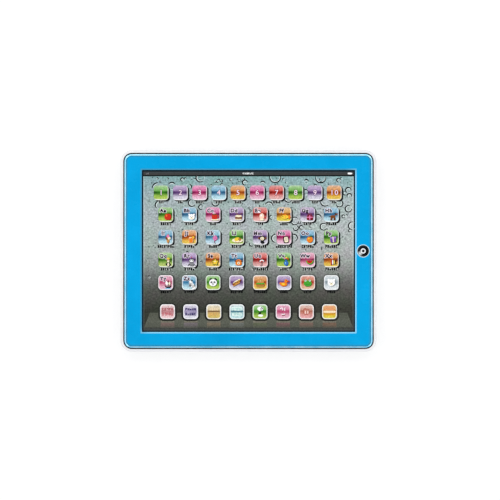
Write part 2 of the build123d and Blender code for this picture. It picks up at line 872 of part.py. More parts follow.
def make_spring_contacts():
    """The plates with the springs that push on the cells' flat ends."""
    height = spring_room - spring_wire - 0.2
    coil = Helix(pitch=height / spring_turns, height=height, radius=spring_radius)
    wire = sweep(Plane(coil @ 0, z_dir=coil % 0) * Circle(spring_wire / 2), path=coil, is_frenet=True)
    wire = Rot(0, 90, 0) * Pos(0, 0, spring_wire / 2) * wire
    pieces = []
    for y, way in cell_places:
        plate = contact_plate(y, -way)
        if not pieces:
            plate = plate + solder_tail(-1)
        start = bay_x0 + contact_thickness if way > 0 else bay_x1 - contact_thickness
        pieces += [plate, Pos(start, y, cell_z) * Rot(0, 0, 0 if way > 0 else 180) * wire]
    return pieces


# ---------------------------------------------------------------- battery door
def make_battery_door():
    """The door: rounded hinged edge, two tabs at one end and the screw's boss at the other."""
    radius = door_thickness / 2
    plate = box_between(
        door_pivot_x, door_x1, bay_y - door_half, bay_y + door_half, floor_out, door_top
    )
    edge = Pos(door_pivot_x, bay_y, door_pivot_z) * Rot(90, 0, 0) * Cylinder(radius, 2 * door_half)
    door = plate + edge
    for y in tab_places:
        door += box_between(
            door_x0 + 0.2, door_x0 + 2.0, y - tab_width / 2, y + tab_width / 2, door_pivot_z, tab_top
        )
        door += box_between(
            door_x0 - tab_reach, door_x0 + 2.0, y - tab_width / 2, y + tab_width / 2, tab_low, tab_top
        )
    door += post(door_screw_x, bay_y, door_boss_radius, door_top, door_boss_top)
    door -= post(door_screw_x, bay_y, door_head_radius + hole_gap, floor_out, door_seat)
    door -= post(door_screw_x, bay_y, door_screw_radius + hole_gap, door_seat, door_boss_top)
    groove = [
        box_between(
            door_x0 + 6.0 + 1.8 * k, door_x0 + 6.9 + 1.8 * k, bay_y - 8, bay_y + 8,
            floor_out, floor_out + 0.4,
        )
        for k in range(5)
    ]
    return door - groove


def make_door_screw():
    """The captive door screw, head down."""
    return screw(
        door_screw_x, bay_y, door_seat, -1,
        door_screw_radius, door_screw_length, door_head_radius, door_head_height,
    )


def make_retainer():
    """The nylon ring that keeps the screw in the door."""
    return tube(
        door_screw_x, bay_y, retainer_radius, door_screw_radius + retainer_bore_gap,
        retainer_low, retainer_low + retainer_thickness,
    )


# ---------------------------------------------------------------- leads
def lead(points):
    """A wire through the points, with arcs at its corners."""
    path = FilletPolyline(*points, radius=lead_bend)
    return sweep(Plane(path @ 0, z_dir=path % 0) * Circle(lead_radius), path=path)


def make_battery_leads():
    """From the two solder tails to the top edge of the main board."""
    join_y = board_y + main_board_width / 2 - lead_inset
    cross_y = bay_y - door_half - bay_wall - lead_detour
    level = cell_z + contact_thickness / 2 + lead_radius
    (y0, _), (y1, _) = solder_tail_places()
    left = bay_x0 - bay_wall - tail_reach / 2
    right = bay_x1 + bay_wall + tail_reach / 2
    out_x = door_x1 + door_ledge + bay_wall + lead_detour
    black_x = board_x - main_board_length * 0.2
    red_x = max(board_x - main_board_length * 0.06, out_x + lead_detour)
    red_y = cross_y + 4 * lead_radius
    black = [
        (left, y0, level),
        (left - 2 * lead_detour, y0, level),
        (left - 2 * lead_detour, cross_y, level),
        (black_x, cross_y, level),
        (black_x, join_y, wire_level),
    ]
    red = [
        (right, y1, level),
        (out_x, y1, level),
        (out_x, red_y, level),
        (red_x, red_y, level),
        (red_x, join_y, wire_level),
    ]
    return lead(black), lead(red)


def make_speaker_leads():
    """From the basket to the left edge of the main board."""
    start_x = speaker_x + speaker_radius - speaker_flange / 2
    level = speaker_seat + speaker_rim + lead_radius + solder_gap
    end_x = board_x - main_board_length / 2 + lead_inset
    run = end_x - start_x
    return [
        lead(
            [
                (start_x, speaker_y + dy, level),
                (start_x + run * 0.4, speaker_y + dy, level),
                (start_x + run * 0.6, board_y + dy, wire_level + lead_radius),
                (end_x, board_y + dy, wire_level),
            ]
        )
        for dy in (-lead_pair_gap, lead_pair_gap)
    ]


def make_button_leads():
    """From under the key's board to the right edge of the main board."""
    level = key_board_top - board_thickness - lead_radius - solder_gap
    start_x = home_x - key_board_width * 0.2
    end_x = board_x + main_board_length / 2 - lead_inset
    join_y = board_y + main_board_width * 0.2
    leave_y = -key_board_length * 0.15
    return [
        lead(
            [
                (start_x, leave_y + dy, level),
                (home_x - key_board_width, leave_y + dy, level),
                (end_x + lead_detour, join_y + dy, wire_level + lead_radius),
                (end_x, join_y + dy, wire_level),
            ]
        )
        for dy in (-lead_pair_gap, lead_pair_gap)
    ]


# ---------------------------------------------------------------- feet
def make_foot(x, y):
    """One rubber foot in its recess."""
    foot = post(x, y, foot_radius, 0, floor_out + foot_seat)
    return chamfer(edges_at(foot, 0), 0.3)


# ---------------------------------------------------------------- build
if __name__ == "__main__":
    save("rear_cover", make_rear_cover())
    save("front_frame", make_front_frame())
    save("edge_trim", make_edge_trim())
    save("home_ring", make_home_ring())

    home_mark = make_home_mark()
    save("home_button_mark", home_mark)
    save("home_button", make_home_button(home_mark))
    save("button_dome", make_dome())
    save("contact_pill", make_pill())
    save("button_board", make_key_board())

    save("touch_sheet", make_touch_sheet())
    save("membrane_upper_film", sheet_blank(spacer_top, upper_film_top))
    save("membrane_spacer", make_spacer())
    save("membrane_lower_film", make_lower_film())
    save("backing_plate", make_backing_plate())

    save("main_board", make_main_board())
    save("sound_chip", make_chip())
    save("tail_connector", make_connector())
    save("board_components", make_board_components())

    save("speaker_gasket", make_speaker_gasket())
    save("speaker_frame", make_speaker_frame())
    save("speaker_cone", make_speaker_cone())
    save("speaker_magnet", make_speaker_magnet())

    for number, (cell_y, cell_way) in enumerate(cell_places, 1):
        save(f"battery_cell_{number}", make_cell(cell_y, cell_way))
    save("flat_contacts", make_flat_contacts())
    save("spring_contacts", make_spring_contacts())

    save("battery_door", make_battery_door())
    save("door_screw", make_door_screw())
    save("screw_retainer", make_retainer())

    black_lead, red_lead = make_battery_leads()
    save("battery_lead_black", black_lead)
    save("battery_lead_red", red_lead)
    save("speaker_leads", make_speaker_leads())
    save("button_leads", make_button_leads())

    save(
        "case_screws",
        [
            screw(x, y, case_seat, -1, case_screw_radius, case_screw_length, case_head_radius, case_head_height)
            for x, y in case_screw_places
        ],
    )
    save(
        "plate_screws",
        [
            screw(
                x, y, plate_low, -1,
                small_screw_radius, plate_thickness + plate_screw_bite, small_head_radius, small_head_height,
            )
            for x, y in plate_screws_long + plate_screws_short
        ],
    )
    save(
        "key_board_screws",
        [
            screw(
                x, y, key_board_top - board_thickness, -1,
                small_screw_radius, board_thickness + board_screw_bite, small_head_radius, small_head_height,
            )
            for x, y in key_post_places
        ],
    )
    save(
        "main_board_screws",
        [
            screw(
                x, y, board_top, 1,
                small_screw_radius, board_thickness + board_screw_bite, small_head_radius, small_head_height,
            )
            for x, y in board_screw_places
        ],
    )
    save(
        "speaker_screws",
        [
            screw(
                x, y, speaker_seat + speaker_rim, 1,
                small_screw_radius, speaker_screw_length, washer_head_radius, small_head_height,
            )
            for x, y in speaker_screw_places
        ],
    )
    for name, (foot_x, foot_y) in foot_places.items():
        save(name, make_foot(foot_x, foot_y))
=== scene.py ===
import json
import math

import bpy
import numpy as np
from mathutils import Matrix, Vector


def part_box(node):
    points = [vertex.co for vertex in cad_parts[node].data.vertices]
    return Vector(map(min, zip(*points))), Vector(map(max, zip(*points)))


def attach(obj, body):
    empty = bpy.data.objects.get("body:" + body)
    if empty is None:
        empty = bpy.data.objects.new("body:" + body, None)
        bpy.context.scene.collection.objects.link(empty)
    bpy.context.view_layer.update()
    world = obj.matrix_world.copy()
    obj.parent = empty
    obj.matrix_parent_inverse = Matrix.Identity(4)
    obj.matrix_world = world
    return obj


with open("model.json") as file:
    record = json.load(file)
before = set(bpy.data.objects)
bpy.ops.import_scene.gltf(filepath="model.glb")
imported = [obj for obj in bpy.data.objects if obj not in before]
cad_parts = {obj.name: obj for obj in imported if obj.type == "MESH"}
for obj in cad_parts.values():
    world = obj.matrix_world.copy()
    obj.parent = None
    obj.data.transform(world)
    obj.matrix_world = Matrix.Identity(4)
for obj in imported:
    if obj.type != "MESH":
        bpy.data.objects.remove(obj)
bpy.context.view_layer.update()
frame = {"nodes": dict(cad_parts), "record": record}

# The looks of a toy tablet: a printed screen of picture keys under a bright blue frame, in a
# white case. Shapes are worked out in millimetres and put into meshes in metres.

MM = 0.001
TURN = 2 * math.pi


# ---------------------------------------------------------------- places, from the frame
def span(node):
    """A node's lowest and highest corners, in millimetres."""
    low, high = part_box(node)
    return np.array(low) / MM, np.array(high) / MM


sheet_high = span("touch_sheet")[1]
frame_high = span("front_frame")[1]
trim_high = span("edge_trim")[1]
ring_low, ring_high = span("home_ring")
home_x = (ring_low[0] + ring_high[0]) / 2

SHEET_MARGIN_X = 3.0  # the sheet runs this far under the frame
SHEET_MARGIN_Y = 3.5
KEY_RISE = 0.25  # the height of the sheet's embossed keys
screen_x = sheet_high[0] - SHEET_MARGIN_X
screen_y = sheet_high[1] - SHEET_MARGIN_Y
screen_z = sheet_high[2] - KEY_RISE

KEY_HALF = 6.95  # half a key's width, and the radius of its corners
KEY_CORNER = 3.2
NUMBER_KEYS = 10
ROW_KEYS = 8
LETTER_ROWS = 4
NUMBER_DROP = 21.4  # number keys' centres, from the screen's top edge
MODE_RISE = 19.0  # bottom row's centres, from the screen's bottom edge
MODE_GAP = 6.1  # the bottom row stands this much further off than one row from the next
LETTER_RAISE = 0.8  # the letter rows stand this much higher than even spacing gives
number_y = screen_y - NUMBER_DROP
mode_y = -screen_y + MODE_RISE
row_pitch = (number_y - mode_y - MODE_GAP + LETTER_RAISE) / (LETTER_ROWS + 1)

NUMBER_MARGIN = 18.8  # each row's end centres, from the screen's side edges
LETTER_MARGIN = 22.3
MODE_MARGIN = 24.0
NUMBER_LEFT = 0.8  # the number row stands this far left of the middle

PRINT_MARGIN = 1.3  # strip and shelf stop this far inside the screen's side edges
STRIP_TOP = 1.1  # status strip's top and lower edges, from the screen's top edge
STRIP_DROP = 6.0
SHELF_RISE = 17.9  # shelf's back and front edges, from the screen's bottom edge
SHELF_FRONT = 2.3

# levels of print above the sheet
SHELF_LIFT = 0.008
REFLECTION_LIFT = 0.016
DROP_LIFT = 0.024
DROP_STEP = 0.002
STRIP_LIFT = 0.032
SHADOW_LIFT = 0.036
CAPTION_HALO_LIFT = 0.044
CAPTION_LIFT = 0.052
# levels of print above a key's domed face
PICTURE_LIFT = 0.02
PICTURE_STEP = 0.006
LETTER_HALO_LIFT = 0.045
LETTER_LIFT = 0.055


def key_row(count, margin, y):
    """Centres of a row of keys, spread evenly between margins from the screen's ends."""
    across = np.linspace(-screen_x + margin, screen_x - margin, count)
    return [(x, y) for x in across]


number_row = key_row(NUMBER_KEYS, NUMBER_MARGIN, number_y)
number_places = [(x - NUMBER_LEFT, y) for x, y in number_row]
letter_places = [
    place
    for row in range(LETTER_ROWS)
    for place in key_row(ROW_KEYS, LETTER_MARGIN, number_y + LETTER_RAISE - (row + 1) * row_pitch)
]
mode_places = key_row(ROW_KEYS, MODE_MARGIN, mode_y)


# ---------------------------------------------------------------- colours
def paint(red, green, blue):
    """A display colour, 0 to 255, as linear light."""
    shade = np.array([red, green, blue]) / 255
    linear = np.where(shade <= 0.04045, shade / 12.92, ((shade + 0.055) / 1.055) ** 2.4)
    return (*linear.tolist(), 1.0)


WHITE = paint(255, 255, 255)
CREAM = paint(250, 238, 205)
BLACK = paint(12, 14, 18)
RED = paint(205, 45, 25)
DEEP_RED = paint(120, 20, 30)
ORANGE = paint(240, 130, 30)
YELLOW = paint(245, 205, 60)
GREEN = paint(70, 165, 50)
LEAF = paint(40, 110, 35)
BLUE = paint(50, 110, 190)
SKY = paint(120, 195, 235)
VIOLET = paint(110, 70, 160)
PINK = paint(240, 130, 180)
BROWN = paint(125, 70, 30)
TAN = paint(200, 140, 70)
GREY = paint(130, 130, 135)
PICTURE_SHADOW = paint(38, 26, 34)
LETTER_INK = paint(26, 0, 32)
LETTER_HALO = paint(250, 240, 250)
NUMERAL = paint(250, 222, 238)

# a key's ink, and the colour its lower part glows with
KEY_GREEN = (paint(72, 158, 36), paint(190, 218, 98))
KEY_LIME = (paint(92, 164, 34), paint(196, 214, 120))
KEY_PURPLE = (paint(134, 92, 160), paint(234, 230, 244))
KEY_MAGENTA = (paint(218, 56, 126), paint(250, 204, 226))
KEY_SKY = (paint(72, 148, 192), paint(204, 240, 250))
KEY_AQUA = (paint(90, 168, 198), paint(206, 232, 246))
KEY_ORANGE = (paint(224, 106, 26), paint(248, 212, 92))
KEY_AMBER = (paint(222, 130, 34), paint(240, 222, 80))
KEY_RED = (paint(208, 42, 34), paint(246, 192, 188))
KEY_ROSE = (paint(220, 92, 134), paint(248, 196, 214))
KEY_PALE = (paint(182, 200, 206), paint(240, 246, 248))
KEY_CORAL = (paint(218, 82, 52), paint(246, 204, 170))
KEY_LILAC = (paint(186, 174, 212), paint(240, 238, 250))
KEY_BLUSH = (paint(222, 152, 156), paint(250, 212, 214))
KEY_STRAW = (paint(222, 192, 132), paint(228, 200, 110))
KEY_MINT = (paint(158, 200, 202), paint(200, 238, 240))
KEY_TERRACOTTA = (paint(214, 134, 112), paint(246, 178, 178))

NUMBER_INKS = [
    KEY_GREEN, KEY_PURPLE, KEY_MAGENTA, KEY_SKY, KEY_ORANGE,
    KEY_MAGENTA, KEY_RED, KEY_GREEN, KEY_PURPLE, KEY_ORANGE,
]  # fmt: skip
LETTER_INKS = [
    KEY_GREEN, KEY_SKY, KEY_MAGENTA, KEY_PURPLE, KEY_RED, KEY_AMBER, KEY_PURPLE, KEY_SKY,
    KEY_SKY, KEY_ORANGE, KEY_AQUA, KEY_GREEN, KEY_PURPLE, KEY_MAGENTA, KEY_SKY, KEY_GREEN,
    KEY_LIME, KEY_PURPLE, KEY_ORANGE, KEY_SKY, KEY_RED, KEY_GREEN, KEY_ROSE, KEY_ORANGE,
    KEY_ROSE, KEY_SKY, KEY_GREEN, KEY_PURPLE, KEY_ORANGE, KEY_PURPLE, KEY_CORAL, KEY_PALE,
]  # fmt: skip
MODE_INKS = [
    KEY_BLUSH, KEY_LILAC, KEY_STRAW, KEY_MINT, KEY_GREEN, KEY_ROSE, KEY_TERRACOTTA, KEY_AMBER,
]  # fmt: skip


# ---------------------------------------------------------------- meshes
class Artwork:
    """Grids of points gathered into one mesh, whose points are marked with an ink and, for some
    pieces, a place on the key and a second ink, its glow."""

    def __init__(self):
        self.points = []
        self.faces = []
        self.marks = {}
        self.count = 0

    def add(self, points, faces, **marks):
        """Takes n points, faces that index them, and marks that hold for all or for each."""
        self.points.append(points)
        self.faces += (np.array(face) + self.count for face in faces)
        for name, mark in marks.items():
            width = 3 if name == "place" else 4
            self.marks.setdefault(name, []).append(np.broadcast_to(mark, (len(points), width)))
        self.count += len(points)

    def piece(self, name, finish):
        """Puts the gathered grids into an object that rides on the case."""
        mesh = bpy.data.meshes.new(name)
        points = np.concatenate(self.points) * MM
        mesh.from_pydata(points.tolist(), [], [face.tolist() for face in self.faces])
        for mark, values in self.marks.items():
            flat = np.concatenate(values).astype(np.float32).ravel()
            if mark == "place":
                mesh.attributes.new(mark, "FLOAT_VECTOR", "POINT").data.foreach_set("vector", flat)
            else:
                mesh.attributes.new(mark, "FLOAT_COLOR", "POINT").data.foreach_set("color", flat)
        mesh.materials.append(finish)
        mesh.polygons.foreach_set("use_smooth", [True] * len(mesh.polygons))
        made = bpy.data.objects.new(name, mesh)
        bpy.context.collection.objects.link(made)
        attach(made, "case")


def disc_faces(rings, around):
    """Faces of a disc: a point in the middle, then rings of points outwards."""
    step = np.arange(around)
    ahead = (step + 1) % around
    faces = [(0, 1 + a, 1 + b) for a, b in zip(step, ahead)]
    for ring in range(rings - 1):
        inner = 1 + ring * around
        outer = inner + around
        faces += [(inner + a, outer + a, outer + b, inner + b) for a, b in zip(step, ahead)]
    return faces


def strip_faces(rows, columns):
    """Faces of a grid of rows by columns."""
    row, column = np.divmod(np.arange((rows - 1) * (columns - 1)), columns - 1)
    here = row * columns + column
    above = here + columns
    return np.stack([here, here + 1, above + 1, above], axis=1)


def edge_distance(x, y):
    """How far a point on a key is inside its rounded square outline."""
    beyond_x = np.abs(x) - (KEY_HALF - KEY_CORNER)
    beyond_y = np.abs(y) - (KEY_HALF - KEY_CORNER)
    corner = np.hypot(np.maximum(beyond_x, 0), np.maximum(beyond_y, 0))
    return KEY_CORNER - corner - np.minimum(np.maximum(beyond_x, beyond_y), 0)


# how far in from a key's edge, and how high over the sheet its dome is there
DOME_EDGES = np.array([0.0, 0.05, 0.16, 0.4, 0.9, 1.6, 2.6, 4.2])
DOME_LIFTS = np.array([0.0, 0.15, 0.27, 0.36, 0.42, 0.46, 0.485, 0.5])


def dome(x, y):
    """A key's height over the sheet: steep at its edge, then nearly flat."""
    return np.interp(edge_distance(x, y), DOME_EDGES, DOME_LIFTS)


CORNER_STEPS = 8
LEAST_CORNER = 0.3  # corner radius of a key face's inner rings


def rounded_square(half, corner):
    """A square outline with quarter-circle corners, from its half-width and corner radius."""
    quarter = np.linspace(0, TURN / 4, CORNER_STEPS)
    angle = (quarter + np.arange(4)[:, None] * TURN / 4).ravel()
    side = np.repeat([(1, 1), (-1, 1), (-1, -1), (1, -1)], CORNER_STEPS, axis=0)
    arc = np.stack([np.cos(angle), np.sin(angle)], axis=1) * corner
    return side * (half - corner) + arc


def key_face(art, centre, inks, border):
    """A domed key face: rounded squares inset by each dome edge, lifted by the dome's profile.
    The ink's alpha says how strong a pale border the key has all round. Its place is how far
    across and up the key a point is, in parts of its half-width, and how far inside its edge."""
    rings = []
    for inset in DOME_EDGES[::-1]:
        rings.append(rounded_square(KEY_HALF - inset, max(KEY_CORNER - inset, LEAST_CORNER)))
    flat = np.concatenate([[(0.0, 0.0)], *rings])
    x, y = flat.T
    height = screen_z + dome(x, y)
    points = np.stack([x + centre[0], y + centre[1], height], axis=1)
    place = np.stack([x / KEY_HALF, y / KEY_HALF, edge_distance(x, y)], axis=1)
    ink, glow = inks
    faces = disc_faces(len(rings), 4 * CORNER_STEPS)
    art.add(points, faces, ink=(*ink[:3], border), glow=glow, place=place)


def key_shadow(art, centre, shift, spread):
    """A printed shadow: a rounded square as dark as can be out to the key's own size, fading to
    nothing over spread. Its place's first number is how dark it is."""
    fades = [(-1.5, 1.0), (0.0, 1.0), (0.45 * spread, 0.55), (spread, 0.0)]
    rings = [rounded_square(KEY_HALF + grow, KEY_CORNER + max(grow, 0)) for grow, _ in fades]
    flat = np.concatenate([[(0.0, 0.0)], *rings]) + np.array(centre) + shift
    level = np.full((len(flat), 1), screen_z + SHADOW_LIFT)
    place = np.zeros((len(flat), 3))
    place[0, 0] = 1.0
    place[1:, 0] = np.repeat([shade for _, shade in fades], 4 * CORNER_STEPS)
    faces = disc_faces(len(rings), 4 * CORNER_STEPS)
    art.add(np.hstack([flat, level]), faces, place=place)


BLOB_STEPS = 24
BLOB_RINGS = np.array([0.4, 0.75, 1.0])


def blob(x, y, across, up, ink, turn=0, power=2.0, points=0, notch=0.0):
    """A closed shape round (x, y): a superellipse of half-sizes across and up, with the given
    power, turned by degrees. With points, its radius dips by notch between that many tips."""
    steps = max(BLOB_STEPS, 2 * points)
    angle = np.linspace(0, TURN, steps, endpoint=False)
    swell = (np.abs(np.cos(angle)) ** power + np.abs(np.sin(angle)) ** power) ** (-1 / power)
    if points:
        phase = (angle - TURN / 4) * points / TURN % 1
        swell = swell * (1 - notch * np.minimum(phase, 1 - phase) * 2)
    outline = np.stack([across * swell * np.cos(angle), up * swell * np.sin(angle)], axis=1)
    tilt = math.radians(turn)
    spin = np.array([[math.cos(tilt), math.sin(tilt)], [-math.sin(tilt), math.cos(tilt)]])
    rings = (BLOB_RINGS[:, None, None] * (outline @ spin)).reshape(-1, 2)
    flat = np.concatenate([[(0.0, 0.0)], rings]) + (x, y)
    return flat, disc_faces(len(BLOB_RINGS), steps), ink


def slab(x, y, across, up, ink, turn=0):
    """A block with slightly rounded corners."""
    return blob(x, y, across, up, ink, turn, power=6.0)


BOW_STEPS = 14


def bow(x, y, radius, start, sweep, width, ink, taper=0.0):
    """A stroke along an arc, from start through sweep degrees, thinner at its ends by taper."""
    along = np.linspace(0, 1, BOW_STEPS)
    angle = np.radians(start + sweep * along)
    half = width / 2 * (1 - taper * (1 - np.sin(along * TURN / 2)))
    radii = np.stack([radius + half, radius - half])
    flat = np.stack([x + radii * np.cos(angle), y + radii * np.sin(angle)], axis=2)
    return flat.reshape(-1, 2), strip_faces(2, BOW_STEPS), ink


def line(x0, y0, x1, y1, width, ink):
    """A straight stroke from one point to another."""
    run = math.hypot(x1 - x0, y1 - y0)
    turn = math.degrees(math.atan2(y1 - y0, x1 - x0))
    return slab((x0 + x1) / 2, (y0 + y1) / 2, run / 2, width / 2, ink, turn)


SHADOW_SHIFT = (0.06, -0.06)  # a picture's shadow, in parts of a key's half-width


def lay_picture(art, centre, shapes, shadows=0):
    """Lays shapes on a key, each one step above the last. They are in parts of its half-width.
    Dark copies of the first few, a little low and to the right, lie under them all."""
    under = [(flat + SHADOW_SHIFT, faces, PICTURE_SHADOW) for flat, faces, _ in shapes[:shadows]]
    for layer, (flat, faces, ink) in enumerate([*under, *shapes]):
        x, y = flat.T * KEY_HALF
        level = screen_z + dome(x, y) + PICTURE_LIFT + layer * PICTURE_STEP
        art.add(np.stack([x + centre[0], y + centre[1], level], axis=1), faces, ink=ink)


def lay_print(art, centre, lift, shapes):
    """Lays shapes, in millimetres, flat on the sheet."""
    for flat, faces, ink in shapes:
        level = np.full((len(flat), 1), screen_z + lift)
        art.add(np.hstack([flat + np.array(centre), level]), faces, ink=ink)


LETTER_SPACING = 1.22
LEAST_AREA = 5e-6  # a triangle smaller than this, in square millimetres, is left out


def lettering(text, size, bold):
    """Text in the built-in face as flat triangles about its own middle, thickened by bold. They
    are all turned to face up, by the sign of the cross product of two of their sides."""
    curve = bpy.data.curves.new("lettering", "FONT")
    curve.body = text
    curve.size = size
    curve.offset = bold
    curve.resolution_u = 3
    curve.align_x = "CENTER"
    curve.align_y = "CENTER"
    curve.space_character = LETTER_SPACING
    holder = bpy.data.objects.new("lettering", curve)
    mesh = bpy.data.meshes.new_from_object(holder)
    mesh.calc_loop_triangles()
    flat = np.zeros(len(mesh.vertices) * 3)
    mesh.vertices.foreach_get("co", flat)
    flat = flat.reshape(-1, 3)[:, :2]
    corners = np.zeros(len(mesh.loop_triangles) * 3, dtype=int)
    mesh.loop_triangles.foreach_get("vertices", corners)
    corners = corners.reshape(-1, 3)
    one = flat[corners[:, 1]] - flat[corners[:, 0]]
    two = flat[corners[:, 2]] - flat[corners[:, 0]]
    area = one[:, 0] * two[:, 1] - one[:, 1] * two[:, 0]
    corners[area < 0] = corners[area < 0][:, ::-1]
    corners = corners[np.abs(area) > 2 * LEAST_AREA]
    bpy.data.objects.remove(holder)
    bpy.data.curves.remove(curve)
    bpy.data.meshes.remove(mesh)
    return flat, corners


def lay_letters(art, centre, text, size, bold, lift, ink):
    """Lays text over the top of a key's dome."""
    flat, corners = lettering(text, size, bold)
    level = np.full((len(flat), 1), screen_z + DOME_LIFTS[-1] + lift)
    art.add(np.hstack([flat + np.array(centre), level]), corners, ink=ink)


# ---------------------------------------------------------------- pictures on the keys
# Each is a list of shapes from the lowest to the highest, in parts of a key's half-width.
def eyes(x, y, apart, size, ink=BLACK):
    """Two dots beside (x, y)."""
    return [blob(x - apart, y, size, size, ink), blob(x + apart, y, size, size, ink)]


def apple():
    body = [blob(0.16, -0.3, 0.33, 0.42, RED), blob(0.42, -0.3, 0.33, 0.42, RED)]
    shine = blob(0.1, -0.14, 0.1, 0.14, ORANGE, 20)
    stalk = line(0.3, 0.05, 0.36, 0.3, 0.07, BROWN)
    return [*body, shine, stalk, blob(0.5, 0.2, 0.16, 0.07, LEAF, 30)]


def bear(x=0.3, y=-0.32, size=0.42):
    ears = eyes(x, y + 0.75 * size, 0.75 * size, 0.3 * size, WHITE)
    head = blob(x, y, size, 0.92 * size, WHITE)
    muzzle = blob(x, y - 0.35 * size, 0.45 * size, 0.36 * size, CREAM)
    nose = blob(x, y - 0.2 * size, 0.14 * size, 0.1 * size, BLACK)
    return [*ears, head, muzzle, nose, *eyes(x, y + 0.15 * size, 0.36 * size, 0.1 * size)]


def cup():
    saucer = blob(0.25, -0.68, 0.55, 0.12, CREAM)
    body = slab(0.2, -0.3, 0.36, 0.34, RED)
    handle = bow(0.56, -0.28, 0.17, -90, 180, 0.1, RED)
    steam = [bow(x, 0.2, 0.09, 100, 160, 0.06, WHITE) for x in (0.1, 0.32)]
    return [saucer, handle, body, blob(0.2, 0.0, 0.34, 0.09, BROWN), *steam]


def drum():
    body = slab(0.25, -0.45, 0.45, 0.26, BROWN)
    band = slab(0.25, -0.65, 0.46, 0.06, CREAM)
    skin = blob(0.25, -0.2, 0.45, 0.15, CREAM)
    sticks = [line(x, 0.25, end, -0.1, 0.07, BROWN) for x, end in ((-0.15, 0.35), (0.75, 0.3))]
    return [body, band, skin, *sticks]


def egg():
    cup_foot = slab(0.2, -0.68, 0.26, 0.12, CREAM)
    shell = blob(0.2, -0.25, 0.32, 0.42, paint(252, 214, 190))
    shine = blob(0.12, -0.12, 0.1, 0.14, WHITE, 20)
    return [shell, cup_foot, shine, blob(0.62, -0.4, 0.12, 0.12, RED)]


def fish():
    body = blob(0.12, -0.32, 0.48, 0.28, YELLOW)
    tail = blob(0.7, -0.32, 0.2, 0.3, ORANGE, power=1.3)
    fin = blob(0.15, -0.02, 0.2, 0.08, ORANGE, 15)
    gill = bow(0.05, -0.32, 0.2, -60, 120, 0.05, ORANGE)
    return [tail, body, fin, gill, blob(-0.16, -0.26, 0.06, 0.06, BLACK)]


def gift():
    box = slab(0.28, -0.42, 0.42, 0.32, DEEP_RED)
    ribbons = [slab(0.28, -0.42, 0.07, 0.32, PINK), slab(0.28, -0.36, 0.42, 0.06, PINK)]
    loops = [bow(0.28 + side * 0.15, 0.02, 0.12, 0, 359, 0.07, DEEP_RED) for side in (-1, 1)]
    return [box, *ribbons, *loops]


def horse():
    body = blob(0.2, -0.28, 0.36, 0.2, BROWN)
    legs = [line(x, -0.35, x - 0.03, -0.78, 0.09, BROWN) for x in (-0.06, 0.08, 0.36, 0.5)]
    neck = line(0.45, -0.2, 0.6, 0.1, 0.17, BROWN)
    head = blob(0.7, 0.08, 0.18, 0.09, BROWN, -25)
    mane = bow(0.42, 0.0, 0.2, -10, 100, 0.09, BLACK)
    return [*legs, body, neck, head, mane, bow(-0.2, -0.4, 0.14, 60, 120, 0.08, BLACK)]


def ice_cream():
    cone = blob(0.3, -0.5, 0.2, 0.36, TAN, power=1.1)
    scoops = [blob(0.16, -0.12, 0.2, 0.2, BROWN), blob(0.46, -0.12, 0.2, 0.2, CREAM)]
    return [cone, *scoops, blob(0.3, 0.12, 0.19, 0.19, PINK), blob(0.32, 0.34, 0.07, 0.07, RED)]


def juice():
    glass = slab(0.22, -0.35, 0.3, 0.4, paint(252, 205, 150))
    drink = slab(0.22, -0.42, 0.25, 0.3, ORANGE)
    straw = line(0.3, -0.2, 0.5, 0.4, 0.07, RED)
    slice_face = blob(0.52, -0.02, 0.17, 0.17, YELLOW)
    return [glass, drink, straw, slice_face, bow(0.52, -0.02, 0.11, 0, 359, 0.04, ORANGE)]


def kite():
    sail = blob(0.28, -0.12, 0.36, 0.42, PINK, -15, power=1.0)
    ribs = [line(0.18, -0.52, 0.38, 0.28, 0.04, VIOLET), line(-0.04, -0.04, 0.6, -0.2, 0.04, VIOLET)]
    tail = bow(0.42, -0.62, 0.24, 120, 130, 0.06, DEEP_RED)
    return [tail, sail, *ribs]


def lemon():
    plate = blob(0.1, -0.42, 0.74, 0.3, CREAM)
    fruit = blob(0.06, -0.26, 0.38, 0.24, YELLOW, 12)
    slice_rind = blob(0.44, -0.28, 0.2, 0.2, BROWN)
    slice_face = blob(0.44, -0.28, 0.15, 0.15, TAN, points=6, notch=0.3)
    return [plate, bow(0.1, -0.42, 0.3, 190, 160, 0.05, TAN), fruit, slice_rind, slice_face]


def monkey():
    ears = eyes(0.25, -0.12, 0.42, 0.14, BROWN)
    head = blob(0.25, -0.14, 0.38, 0.36, BLACK)
    face = blob(0.25, -0.18, 0.26, 0.24, CREAM)
    body = blob(0.25, -0.66, 0.26, 0.2, BLACK)
    smile = bow(0.25, -0.2, 0.12, 210, 120, 0.04, BROWN)
    return [body, *ears, head, face, *eyes(0.25, -0.12, 0.1, 0.05), smile]


def notebook():
    cover = slab(0.25, -0.32, 0.36, 0.44, BLACK, 8)
    page = slab(0.3, -0.32, 0.26, 0.36, CREAM, 8)
    lines = [line(0.12, y, 0.48, y + 0.05, 0.04, GREY) for y in (-0.15, -0.3, -0.45)]
    return [cover, page, *lines]


def orange_fruit():
    body = blob(0.28, -0.32, 0.42, 0.42, ORANGE)
    shine = blob(0.14, -0.18, 0.13, 0.1, YELLOW, 30)
    return [body, shine, blob(0.42, 0.12, 0.2, 0.09, LEAF, 25), blob(0.28, 0.06, 0.05, 0.05, BROWN)]


def parcel():
    box = slab(0.25, -0.32, 0.4, 0.38, VIOLET, 6)
    flap = slab(0.25, -0.05, 0.4, 0.12, paint(170, 130, 210), 6)
    return [box, flap, slab(0.25, -0.3, 0.07, 0.38, CREAM, 6)]


